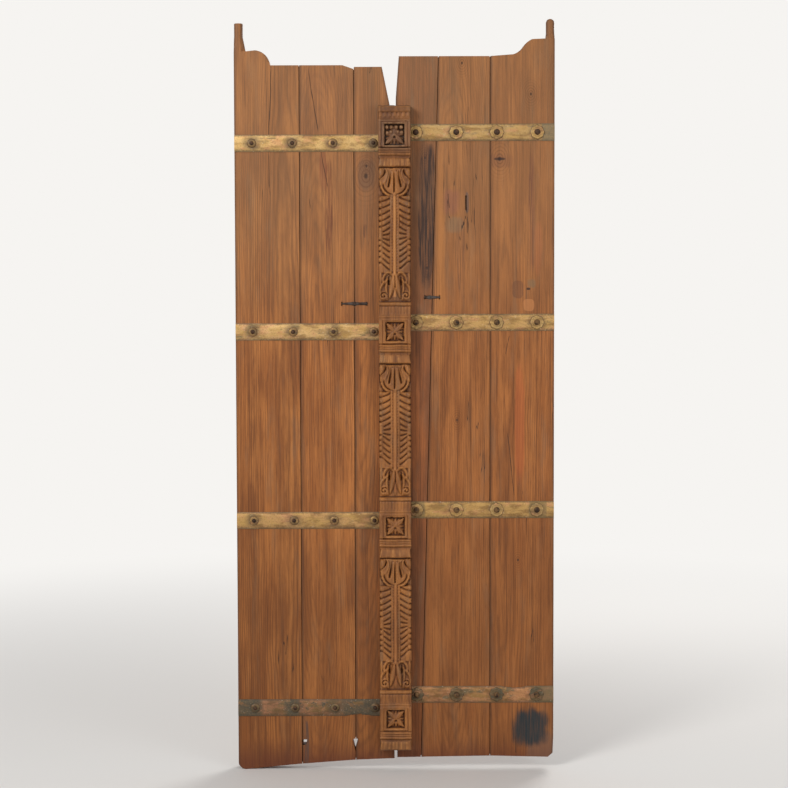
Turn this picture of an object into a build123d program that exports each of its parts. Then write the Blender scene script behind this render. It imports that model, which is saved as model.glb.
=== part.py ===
from build123d import *
import os
from math import cos, pi, sin

os.makedirs("parts", exist_ok=True)

# Driving sizes, in millimetres. X runs across the door, +Y away from the viewer, +Z up.
# The pair of leaves
pair_width = 923
plank_thickness = 38
meeting_gap = 8
corner_wear_height = 30
corner_wear_width = 22

# The left leaf, whose outer bottom corner is the lowest point of the door
left_leaf_height = 2048
left_outer_width = 187
left_middle_width = 157
left_bottom_rise = 31
left_inner_drop = 5
left_shoulder_height = 43
left_shoulder_start = 104
left_shoulder_end = 61
left_meeting_slant = 32
left_slant_height = 160
foot_wear = 4
shoulder_wear = 3
joint_wear = 6
shoulder_bulge = 5

# The right leaf, which hangs a little higher
right_leaf_lift = 38
right_leaf_height = 2035
right_outer_width = 186
right_inner_foot_width = 69
right_inner_middle_width = 104
right_inner_head_width = 125
right_bend_height = 1373
right_shoulder_height = 51
right_shoulder_start = 119
right_shoulder_end = 65
right_meeting_slant = 9
right_slant_height = 120
right_chip_width = 16
right_chip_height = 58
ogee_reach = 12
ogee_drop = 10
slit_place = 206
slit_level = 1653
slit_length = 43
slit_width = 4

# Pivot pegs at the tops of the outer planks
left_pivot_radius = 12.5
left_pivot_length = 40
left_haunch_width = 33
left_haunch_rise = 38
left_haunch_corner = 12
haunch_arris = 1
right_pivot_radius = 12
right_pivot_length = 32
right_haunch_rise = 14
right_haunch_corner = 4
right_dome_height = 11

# Rebated joints between planks, and worn holes through two of them near the foot
joint_gap = 2
lap_width = 9
fit_gap = 0.2
hole_level = 72
hole_height = 34
hole_width = 14
hole_taper = 2

# Brass straps
strap_width = 50
strap_thickness = 3.2
strap_edge_thickness = 1.6
strap_land = 30
strap_end_cover = 35
tear_depth = 6
tear_length = 68
left_tear_place = 108
right_tear_place = 345
left_strap_heights = (1825, 1282, 733, 182)
right_strap_heights = (1855, 1308, 763, 220)

# Ledges across the back, behind each strap
ledge_width = 64
ledge_thickness = 28
ledge_chamfer = 5
ledge_end_inset = 12

# Nails, washers and rosettes
nails_per_strap = 4
nail_edge_inset = 50
nail_post_inset = 61
nail_size = 6
left_head_radius = 6
left_head_height = 4
right_head_radius = 9
right_head_height = 6
head_bevel = 2.5
clench_length = 16
clench_thickness = 2.4
washer_radius = 13.5
washer_thickness = 4
washer_sides = 12
washer_bevel = 1.5
rosette_radius = 21.5
rosette_waist = 18
rosette_petals = 8
rosette_thickness = 3
collar_radius = 12
collar_height = 1.6

# Iron cramps driven across two joints
cramp_height = 12
cramp_thickness = 4
cramp_leg = 22
cramp_point = 10
left_cramp_length = 76
left_cramp_level = 1363
right_cramp_length = 46
right_cramp_level = 1381

# The carved centre post, from its foot up
post_width = 93
post_depth = 42
post_bottom = 64
post_foot = 92
post_head = 84
block_pitch = 563
post_bays = 3
post_running_gap = 0.4
post_nail_inset = 26
post_nail_grip = 18

# Square blocks with a flower in a recess
block_half = 33
recess_half = 27
recess_depth = 9
frame_groove_width = 3
frame_groove_depth = 2
petals = 8
petal_long = 31
petal_short = 23
petal_width = 10
boss_radius = 6
petal_sunk = 2
boss_sunk = 1

# Panels between the blocks, measured down from a block's centre
ground_depth = 17
fascia_top = 66
fascia_bottom = 91
capital_top = 95
capital_bottom = 176
feather_bottom = 392
shelf_top = 477
band_top = 490
band_bottom = 515
relief_slope = 20
arris = 5
shaft_width = 30
shaft_proud = 11
shaft_valley = 5
shaft_side_ridge = 3
feather_leaves = 13
leaf_width = 12
leaf_drop = 14
leaf_rise = 8
leaf_tip_inset = 3
fascia_flare = 4
cup_side = 36
cup_rise = 6
cup_inset = 1
cup_turn_inset = 11
cup_turn_rise = 16
bell_width = 34
bell_rise = 10
bell_swell = 3
slot_length = 34
slot_width = 7
slot_start = 4
slot_turn = 12
tip_width = 14
tip_drop = 26
tip_bend = 3
bud_radius = 5
drop_leaf_length = 72
drop_leaf_width = 13
side_leaf_length = 40
side_leaf_width = 14
side_leaf_turns = (120, 145)
scroll_rise = 9
leaf_step = 2
volute_radius = 10
volute_sides = 10
volute_inset = 2
reeds = 9
reed_groove = 3
band_back = 5
dentil_back = 4
fillet_back = 2
hollow_back = 8
dentils = 7
dentil_bottom = 50
dentil_top = 64

# Worked out from the sizes above
hinge_edge = pair_width / 2
left_pivot_x = -hinge_edge + left_pivot_radius
right_pivot_x = hinge_edge - right_pivot_radius
overall_depth = post_depth + plank_thickness + ledge_thickness + clench_thickness
face_y = post_depth - overall_depth / 2
middle_y = face_y + plank_thickness / 2
back_y = face_y + plank_thickness
ledge_back_y = back_y + ledge_thickness
strap_face_y = face_y - strap_thickness
left_top = left_leaf_height
left_crown = left_top + left_shoulder_height
left_foot = 0
right_top = right_leaf_lift + right_leaf_height
right_crown = right_top + right_shoulder_height
meeting_edge = meeting_gap / 2
left_joint_1 = -hinge_edge + left_outer_width
left_joint_2 = left_joint_1 + left_middle_width
right_joint_2 = hinge_edge - right_outer_width
post_half = post_width / 2
strap_start = post_half - strap_end_cover
ground = post_depth - ground_depth
first_block = post_bottom + post_foot
block_centres = [first_block + n * block_pitch for n in range(post_bays + 1)]
post_top = block_centres[-1] + post_head
nail_pitch = (hinge_edge - nail_edge_inset - nail_post_inset) / (nails_per_strap - 1)
nail_places = [nail_post_inset + n * nail_pitch for n in range(nails_per_strap)]
beyond = 30


def front(y):
    """The upright plane at depth y, drawn as the viewer sees it: across is +X, up is +Z."""
    return Plane.XZ.offset(-y)


def drawn(plane, points):
    """A straight-sided outline on a plane."""
    with BuildSketch(plane) as outline:
        with BuildLine():
            Polyline(*points, close=True)
        make_face()
    return outline.sketch


def save(piece, name):
    piece.part.label = name
    export_step(piece.part, f"parts/{name}.step")


def save_row(piece, heights, name):
    """Saves a copy of a piece, made at height 0, at each of the heights, numbered from the top."""
    for number, height in enumerate(heights, start=1):
        copy = piece.part.moved(Location((0, 0, height)))
        copy.label = f"{name}_{number}"
        export_step(copy, f"parts/{copy.label}.step")


# Outlines of the two leaves, as sawn and as worn


def left_leaf_outline():
    """The left leaf from the front: round pivot shoulder, worn meeting edge, sloping foot."""
    shoulder = -hinge_edge + left_shoulder_start
    crown = -hinge_edge + left_shoulder_end
    haunch = -hinge_edge + left_haunch_width
    inner_top = left_top - left_inner_drop
    with BuildSketch(front(face_y)) as leaf:
        with BuildLine():
            Polyline(
                (-hinge_edge + corner_wear_width, left_foot),
                (left_joint_1, left_bottom_rise / 2),
                (left_joint_2, left_bottom_rise - foot_wear),
                (-meeting_edge, left_bottom_rise),
                (-meeting_edge, left_top - left_slant_height),
                (-meeting_edge - left_meeting_slant, inner_top),
                (left_joint_2 + joint_gap, inner_top),
                (left_joint_2, inner_top - joint_wear),
                (left_joint_2 - left_meeting_slant, left_top),
                (shoulder, left_top),
            )
            ThreePointArc(
                (shoulder, left_top),
                ((shoulder + crown) / 2 + shoulder_bulge, left_crown - left_shoulder_height / 4),
                (crown, left_crown),
            )
            Polyline(
                (crown, left_crown),
                (haunch, left_crown - shoulder_wear),
                (-hinge_edge, left_crown - shoulder_wear),
                (-hinge_edge, corner_wear_height),
            )
            ThreePointArc(
                (-hinge_edge, corner_wear_height),
                (-hinge_edge + corner_wear_width / 4, corner_wear_height / 4),
                (-hinge_edge + corner_wear_width, left_foot),
            )
        make_face()
    return leaf.sketch


def right_leaf_outline():
    """The right leaf from the front: ogee pivot shoulder, worn meeting edge, chipped outer foot."""
    shoulder = hinge_edge - right_shoulder_start
    crown = hinge_edge - right_shoulder_end
    turn = ((shoulder + crown) / 2, (right_top + right_crown) / 2)
    with BuildSketch(front(face_y)) as leaf:
        with BuildLine():
            Polyline(
                (meeting_edge, right_leaf_lift - foot_wear),
                (right_joint_2, right_leaf_lift),
                (hinge_edge - right_chip_width, right_leaf_lift - foot_wear),
                (hinge_edge - right_chip_width / 8, right_leaf_lift + 2 * foot_wear),
                (hinge_edge, right_leaf_lift + right_chip_height),
                (hinge_edge, right_crown),
                (crown, right_crown - shoulder_wear),
            )
            upper_bend = crown - ogee_reach, right_crown - ogee_drop
            lower_bend = turn[0] - ogee_reach, turn[1] - ogee_drop - shoulder_wear
            ThreePointArc((crown, right_crown - shoulder_wear), upper_bend, turn)
            ThreePointArc(turn, lower_bend, (shoulder, right_top + shoulder_bulge))
            Polyline(
                (shoulder, right_top + shoulder_bulge),
                (right_joint_2, right_top),
                (meeting_edge + right_meeting_slant, right_top),
                (meeting_edge, right_top - right_slant_height),
                (meeting_edge, right_leaf_lift - foot_wear),
            )
        make_face()
    return leaf.sketch


# Planks. Each is half lapped over the next, so that no light passes between them.


def board_section(z, left, right, left_lap, right_lap):
    """A plank's level section: the back half steps sideways, under the next plank's front half."""
    front_left = left + joint_gap / 2 if left_lap else left
    front_right = right - joint_gap / 2 if right_lap else right
    back_left = left + lap_width + fit_gap if left_lap else left
    back_right = right + lap_width if right_lap else right
    halves = (front_left, front_right, face_y, middle_y), (back_left, back_right, middle_y, back_y)
    with BuildSketch(Plane.XY.offset(z)) as section:
        for start, end, near, far in halves:
            with Locations(((start + end) / 2, (near + far) / 2)):
                Rectangle(end - start, far - near)
    return section.sketch


def board(sections, outline, nail_spots):
    """Adds one plank: lofted along its joints, sawn to the leaf's outline, pierced for its nails."""
    loft([board_section(*section) for section in sections], ruled=True)
    extrude(outline, amount=-plank_thickness, mode=Mode.INTERSECT)
    for x, z in nail_spots:
        with Locations((x, middle_y, z)):
            Box(nail_size, plank_thickness, nail_size, mode=Mode.SUBTRACT)
    cramp_mortises()


def octagon(z, low_x, high_x, depth, near_corner, far_corner):
    """A level rectangle with its corners cut, for the haunch below a peg."""
    near, far = middle_y - depth / 2, middle_y + depth / 2
    corners = (
        (low_x + near_corner, near),
        (high_x - far_corner, near),
        (high_x, near + far_corner),
        (high_x, far - far_corner),
        (high_x - far_corner, far),
        (low_x + near_corner, far),
        (low_x, far - near_corner),
        (low_x, near + near_corner),
    )
    return drawn(Plane.XY.offset(z), corners)


def peg_corner(radius):
    """The corner cut that makes a square round the peg a regular octagon."""
    return radius * (2 - 2**0.5)


def nail_grid(heights, side, low_x, high_x):
    """Where the strap nails pass through a plank that spans low_x to high_x."""
    across = [side * place for place in nail_places]
    reached = [x for x in across if low_x - nail_size < x < high_x + nail_size]
    return [(x, z) for x in reached for z in heights]


post_nail_levels = [
    post_bottom + post_foot / 4,
    *[centre + block_pitch / 2 for centre in block_centres[:-1]],
    post_top - post_head / 2,
]
cramps = {
    "left_iron_cramp": (left_joint_2, left_cramp_length, left_cramp_level),
    "right_iron_cramp": (
        meeting_edge + right_inner_middle_width,
        right_cramp_length,
        right_cramp_level,
    ),
}


def cramp_mortises():
    """Sinks the holes that the legs of the iron cramps are driven into."""
    for joint_x, length, level in cramps.values():
        reach = (length - cramp_thickness) / 2
        for x in joint_x - reach, joint_x + reach:
            with Locations((x, face_y + cramp_leg / 2, level)):
                Box(cramp_thickness, cramp_leg, cramp_height, mode=Mode.SUBTRACT)


left_ends = left_foot - beyond, left_crown + beyond
left_boards = {
    "left_outer_plank": (-hinge_edge, left_joint_1, False, True),
    "left_middle_plank": (left_joint_1, left_joint_2, True, True),
    "left_inner_plank": (left_joint_2, -meeting_edge, True, False),
}
hole_top = hole_level + hole_height / 2
square_hole = [
    (left_joint_1 + joint_gap, hole_level - hole_taper),
    (left_joint_1 + hole_width - hole_taper, hole_level - hole_taper),
    (left_joint_1 + hole_width, hole_top - hole_taper),
    (left_joint_1 + joint_gap, hole_top - hole_taper),
]
tapered_hole = [
    (left_joint_2 - hole_taper, hole_level - hole_height / 2),
    (left_joint_2 + hole_width / 2, hole_top - 2 * hole_taper),
    (left_joint_2 + hole_width / 2 - hole_taper, hole_top),
    (left_joint_2 - hole_width / 2 + hole_taper, hole_top),
    (left_joint_2 - hole_width / 2 - hole_taper, hole_top - 2 * hole_taper),
]
for name, (low_x, high_x, low_lap, high_lap) in left_boards.items():
    with BuildPart() as plank:
        spots = nail_grid(left_strap_heights, -1, low_x, high_x)
        if name == "left_inner_plank":
            spots += [(-post_nail_inset, z) for z in post_nail_levels]
        levels = [(z, low_x, high_x, low_lap, high_lap) for z in left_ends]
        board(levels, left_leaf_outline(), spots)
        for hole in square_hole, tapered_hole:
            extrude(drawn(front(face_y), hole), amount=-plank_thickness, mode=Mode.SUBTRACT)
        if name == "left_outer_plank":
            foot, head = left_crown - shoulder_wear, left_crown + left_haunch_rise
            peg_width = 2 * left_pivot_radius
            corner = peg_corner(left_pivot_radius)
            haunch = low_x, low_x + left_haunch_width, plank_thickness
            base = octagon(foot, *haunch, haunch_arris, left_haunch_corner)
            tip = octagon(head, low_x, low_x + peg_width, peg_width, corner, corner)
            loft([base, tip], ruled=True)
            with BuildSketch(Plane.XY.offset(head)):
                with Locations((left_pivot_x, middle_y)):
                    Circle(left_pivot_radius)
            extrude(amount=left_pivot_length)
    save(plank, name)

right_joint_1 = (
    (right_leaf_lift - beyond, meeting_edge + right_inner_foot_width),
    (right_bend_height, meeting_edge + right_inner_middle_width),
    (right_crown + beyond, meeting_edge + right_inner_head_width),
)
right_boards = {
    "right_inner_plank": [(z, meeting_edge, x, False, True) for z, x in right_joint_1],
    "right_middle_plank": [(z, x, right_joint_2, True, True) for z, x in right_joint_1],
    "right_outer_plank": [(z, right_joint_2, hinge_edge, True, False) for z, x in right_joint_1],
}
for name, levels in right_boards.items():
    with BuildPart() as plank:
        low_x = min(level[1] for level in levels)
        high_x = max(level[2] for level in levels)
        board(levels, right_leaf_outline(), nail_grid(right_strap_heights, 1, low_x, high_x))
        if name == "right_middle_plank":
            with Locations((slit_place, middle_y, slit_level)):
                Box(slit_width, plank_thickness, slit_length, mode=Mode.SUBTRACT)
        if name == "right_outer_plank":
            foot, head = right_crown - shoulder_wear, right_crown + right_haunch_rise
            peg_width = 2 * right_pivot_radius
            corner = peg_corner(right_pivot_radius)
            haunch = high_x - peg_width - haunch_arris, high_x, plank_thickness
            base = octagon(foot, *haunch, right_haunch_corner, haunch_arris)
            tip = octagon(head, high_x - peg_width, high_x, peg_width, corner, corner)
            loft([base, tip], ruled=True)
            with BuildSketch(Plane.XY.offset(head)):
                with Locations((right_pivot_x, middle_y)):
                    Circle(right_pivot_radius)
            extrude(amount=right_pivot_length + right_dome_height)
            crown_edge = plank.edges().filter_by(GeomType.CIRCLE).sort_by(Axis.Z)[-1]
            fillet(crown_edge, right_dome_height)
    save(plank, name)


# Brass straps: cold-worked strip, thicker along the middle, with the nails' square holes


def strap(side, height):
    """Adds a strap from under the post out to the hinge edge."""
    half, land = strap_width / 2, strap_land / 2
    edge_y = face_y - strap_edge_thickness
    section = (
        (face_y, height - half),
        (edge_y, height - half),
        (strap_face_y, height - land),
        (strap_face_y, height + land),
        (edge_y, height + half),
        (face_y, height + half),
    )
    start = strap_start if side > 0 else -hinge_edge
    extrude(drawn(Plane.YZ.offset(start), section), amount=hinge_edge - strap_start)
    for place in nail_places:
        with Locations((side * place, face_y, height)):
            Box(nail_size, 4 * strap_thickness, nail_size, mode=Mode.SUBTRACT)


def tear(x, edge, inward):
    """Cuts the ragged bite out of a strap's edge at height edge, towards inward (+1 up, -1 down)."""
    bite = (
        (x - tear_length / 2, edge - inward),
        (x - tear_length / 3, edge + inward * tear_depth),
        (x, edge + inward * tear_depth / 2),
        (x + tear_length / 4, edge + inward * tear_depth),
        (x + tear_length / 2, edge - inward),
    )
    extrude(drawn(front(face_y), bite), amount=strap_thickness, mode=Mode.SUBTRACT)


sides = {"left": (-1, left_strap_heights), "right": (1, right_strap_heights)}
for side_name, (side, heights) in sides.items():
    for number, height in enumerate(heights, start=1):
        with BuildPart() as brass_strap:
            strap(side, height)
            if number == nails_per_strap and side < 0:
                tear(-left_tear_place, height - strap_width / 2, 1)
            if number == nails_per_strap and side > 0:
                tear(right_tear_place, height + strap_width / 2, -1)
        save(brass_strap, f"{side_name}_strap_{number}")

# Ledges: softened battens across the back, which the nails are clenched over
for side_name, (side, heights) in sides.items():
    with BuildPart() as ledge:
        near, far = meeting_edge + ledge_end_inset, hinge_edge - ledge_end_inset
        with Locations((side * (near + far) / 2, back_y + ledge_thickness / 2, 0)):
            Box(far - near, ledge_thickness, ledge_width)
        back_face = ledge.faces().sort_by(Axis.Y)[-1]
        chamfer(back_face.edges(), ledge_chamfer)
        for place in nail_places:
            with Locations((side * place, back_y + ledge_thickness / 2, 0)):
                Box(nail_size, ledge_thickness, nail_size, mode=Mode.SUBTRACT)
    save_row(ledge, heights, f"{side_name}_ledge")

# Washers under the left leaf's nails, petalled rosettes with a collar under the right leaf's


def petal_ring(x):
    """A ring of petals: the tip of each, and the notch between it and the next."""
    points = []
    for n in range(2 * rosette_petals):
        radius = rosette_waist if n % 2 == 0 else rosette_radius
        angle = pi * n / rosette_petals
        points.append((x + radius * sin(angle), radius * cos(angle)))
    return points


with BuildPart() as washers:
    for place in nail_places:
        with BuildSketch(front(strap_face_y)):
            with Locations((-place, 0)):
                RegularPolygon(washer_radius, washer_sides)
        extrude(amount=washer_thickness)
    chamfer(washers.faces().group_by(Axis.Y)[0].edges(), washer_bevel)
    for place in nail_places:
        with Locations((-place, strap_face_y, 0)):
            Box(nail_size, 4 * washer_thickness, nail_size, mode=Mode.SUBTRACT)
save_row(washers, left_strap_heights, "left_washers")

with BuildPart() as rosettes:
    for place in nail_places:
        ring = drawn(front(strap_face_y), petal_ring(place))
        extrude(ring, amount=rosette_thickness)
        with BuildSketch(front(strap_face_y - rosette_thickness)):
            with Locations((place, 0)):
                RegularPolygon(collar_radius, washer_sides)
        extrude(amount=collar_height)
        with Locations((place, strap_face_y, 0)):
            Box(nail_size, 4 * rosette_thickness, nail_size, mode=Mode.SUBTRACT)
save_row(rosettes, right_strap_heights, "right_rosettes")

# Forged square nails, with a faceted head in front and the point turned over on the ledge
nail_kinds = {
    "left": (washer_thickness, left_head_radius, left_head_height),
    "right": (rosette_thickness + collar_height, right_head_radius, right_head_height),
}
for side_name, (seat, head_radius, head_height) in nail_kinds.items():
    side, heights = sides[side_name]
    seat_y = strap_face_y - seat
    with BuildPart() as nails:
        for place in nail_places:
            with BuildSketch(front(seat_y)):
                with Locations((side * place, 0)):
                    RegularPolygon(head_radius, 8)
            extrude(amount=head_height)
        chamfer(nails.faces().group_by(Axis.Y)[0].edges(), head_bevel)
        for place in nail_places:
            with Locations((side * place, (seat_y + ledge_back_y) / 2, 0)):
                Box(nail_size, ledge_back_y - seat_y, nail_size)
            bent_x = side * place + (clench_length - nail_size) / 2
            with Locations((bent_x, ledge_back_y + clench_thickness / 2, 0)):
                Box(clench_length, clench_thickness, nail_size)
    save_row(nails, heights, f"{side_name}_nails")

# Iron cramps: a flat bar with a pointed leg driven into the plank on each side of a joint
for name, (joint_x, length, level) in cramps.items():
    near_y, far_y = face_y - cramp_thickness, face_y + cramp_leg
    low_x, high_x = joint_x - length / 2, joint_x + length / 2
    outline = (
        (low_x, near_y),
        (high_x, near_y),
        (high_x, far_y - cramp_point),
        (high_x - cramp_thickness / 2, far_y),
        (high_x - cramp_thickness, far_y - cramp_point),
        (high_x - cramp_thickness, face_y),
        (low_x + cramp_thickness, face_y),
        (low_x + cramp_thickness, far_y - cramp_point),
        (low_x + cramp_thickness / 2, far_y),
        (low_x, far_y - cramp_point),
    )
    with BuildPart() as cramp:
        extrude(drawn(Plane.XY.offset(level), outline), amount=cramp_height / 2, both=True)
    save(cramp, name)

# The carved post, cut from one length of wood. Its side profile runs from the foot to the head.
# Each moulding is given as (how far back from a block's face, how far below the block's centre).
under_block = (
    (0, block_half),
    (3.5, block_half + 3),
    (1.5, block_half + 7),
    (1.5, block_half + 12),
    (5, block_half + 15),
    (fillet_back, block_half + 19),
    (fillet_back, block_half + 23),
    (hollow_back, block_half + 27),
    (hollow_back, fascia_top),
)
fascia = (
    (hollow_back, fascia_top + 1),
    (fillet_back, fascia_bottom - 1),
    (ground_depth - fillet_back, capital_top),
    (ground_depth, capital_top),
)
shelf_and_band = (
    (ground_depth, shelf_top),
    (band_back, shelf_top + 3),
    (fillet_back, shelf_top + 6),
    (fillet_back, shelf_top + 10),
    (hollow_back, band_top),
    (band_back, band_top),
    (band_back, band_bottom),
)
over_block = (
    (fillet_back, band_bottom + 3),
    (fillet_back, band_bottom + 7),
    (band_back, band_bottom + 9),
    (fillet_back, block_pitch - block_half - 4),
    (0, block_pitch - block_half),
)
head = (
    (0, -block_half),
    (fillet_back, -block_half - 4),
    (fillet_back, -block_half - 9),
    (dentil_back + 2, -block_half - 13),
    (dentil_back + 2, -dentil_bottom),
    (dentil_back, -dentil_bottom),
    (dentil_back, -dentil_top),
    (0, -dentil_top - 2),
    (1, -post_head + 6),
    (hollow_back, -post_head),
)
foot = (*under_block[:-1], (6, fascia_top), (6, post_foot))


def profile_points(moulding, centre):
    return [(face_y - post_depth + back, centre - drop) for back, drop in moulding]


def lens(x, z, turn, start, length, width):
    """A five-cornered leaf outline, starting away from (x, z), turned from straight up."""
    turn = turn * pi / 180
    shape = (0, 0.15), (0.6, 0.5), (1, 0), (0.6, -0.5), (0, -0.15)
    points = []
    for along, aside in shape:
        u, v = start + along * length, aside * width
        points.append((x + u * sin(turn) + v * cos(turn), z + u * cos(turn) - v * sin(turn)))
    return points


def square(z, half):
    return [(-half, z - half), (half, z - half), (half, z + half), (-half, z + half)]


def carve(outlines, y, amount, mode=Mode.ADD):
    """Raises all the outlines at once from depth y, or sinks them."""
    with BuildSketch(front(y)) as forms:
        for outline in outlines:
            Polygon(*outline, align=None)
    extrude(forms.sketch, amount=amount, clean=False, mode=mode)


def petal_outlines(z):
    """The flower in a block's recess: short petals up, down and across, long ones between."""
    outlines = []
    for n in range(petals):
        length = petal_short if n % 2 == 0 else petal_long
        outlines.append(lens(0, z, 360 * n / petals, boss_radius / 2, length, petal_width))
    return outlines


def shaft_section():
    """The ridged stem that runs down the middle of a panel, in plan."""
    half = shaft_width / 2
    top = face_y - ground - shaft_proud
    return (
        (-half, face_y - ground),
        (-half, top + shaft_valley),
        (-half + shaft_side_ridge, top + shaft_side_ridge),
        (-half / 2, top + shaft_valley),
        (0, top),
        (half / 2, top + shaft_valley),
        (half - shaft_side_ridge, top + shaft_side_ridge),
        (half, top + shaft_valley),
        (half, face_y - ground),
    )


def feather_outlines(z):
    """The leaves down both sides of the shaft: the upper ones droop outwards, the lower rise."""
    pitch = (feather_bottom - capital_bottom) / feather_leaves
    outlines = []
    for n in range(feather_leaves):
        drop = leaf_drop * cos(pi * n / (feather_leaves - 1))
        root_z = z - capital_bottom - pitch * (n + 1 / 2) + drop / 2
        low, high = root_z - leaf_width / 2, root_z + leaf_width / 2
        for side in -1, 1:
            inner, outer = side * (shaft_width / 2 - 1), side * post_half
            tip = side * (post_half - leaf_tip_inset)
            leaf = (
                (inner, low),
                (tip, low - drop),
                (outer, root_z - drop),
                (tip, high - drop),
                (inner, high),
            )
            outlines.append(leaf if side > 0 else leaf[::-1])
    return outlines


def cup(z):
    """The cup of a capital, which closes on the shaft: a flat top and rounded sides."""
    top, low = z - capital_top, z - capital_bottom
    half, stem = post_half - cup_inset, shaft_width / 2
    turn = (post_half - cup_turn_inset, low + cup_turn_rise)
    with BuildSketch(front(face_y - ground)) as outline:
        with BuildLine():
            Polyline((-half, top - cup_side), (-half, top), (half, top), (half, top - cup_side))
            ThreePointArc((half, top - cup_side), turn, (stem, low))
            Line((stem, low), (-stem, low))
            ThreePointArc((-stem, low), (-turn[0], turn[1]), (-half, top - cup_side))
        make_face()
    return outline.sketch


def bell(z):
    """The calyx leaf in the middle of a capital."""
    top = z - capital_top
    half, stem = bell_width / 2, shaft_width / 2
    return (
        (-stem, top - cup_side - stem),
        (stem, top - cup_side - stem),
        (half + bell_swell, top - cup_side),
        (half, top),
        (-half, top),
        (-half - bell_swell, top - cup_side),
    )


def corner_tips(z):
    """The leaf tips that turn over at the top corners of a capital."""
    top, half = z - capital_top, post_half - cup_inset
    tip = (
        (half, top - tip_drop + tip_bend),
        (half, top),
        (half - tip_width, top),
        (half - tip_width + tip_bend, top - tip_drop / 2),
        (half - tip_bend, top - tip_drop),
    )
    return tip, [(-x, level) for x, level in tip[::-1]]


def band_cuts(centres, low, high, count, depth):
    """Cuts V grooves that part a band into reeds or dentils, over all of the blocks given."""
    band_y = face_y - post_depth + depth
    for z in centres:
        with BuildSketch(Plane.XY.offset(z + low)) as cuts:
            for n in range(1, count):
                x = -post_half + post_width * n / count
                Polygon(
                    (x - reed_groove / 2, band_y),
                    (x + reed_groove / 2, band_y),
                    (x, band_y + reed_groove),
                    align=None,
                )
        extrude(cuts.sketch, amount=high - low, mode=Mode.SUBTRACT)


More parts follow.
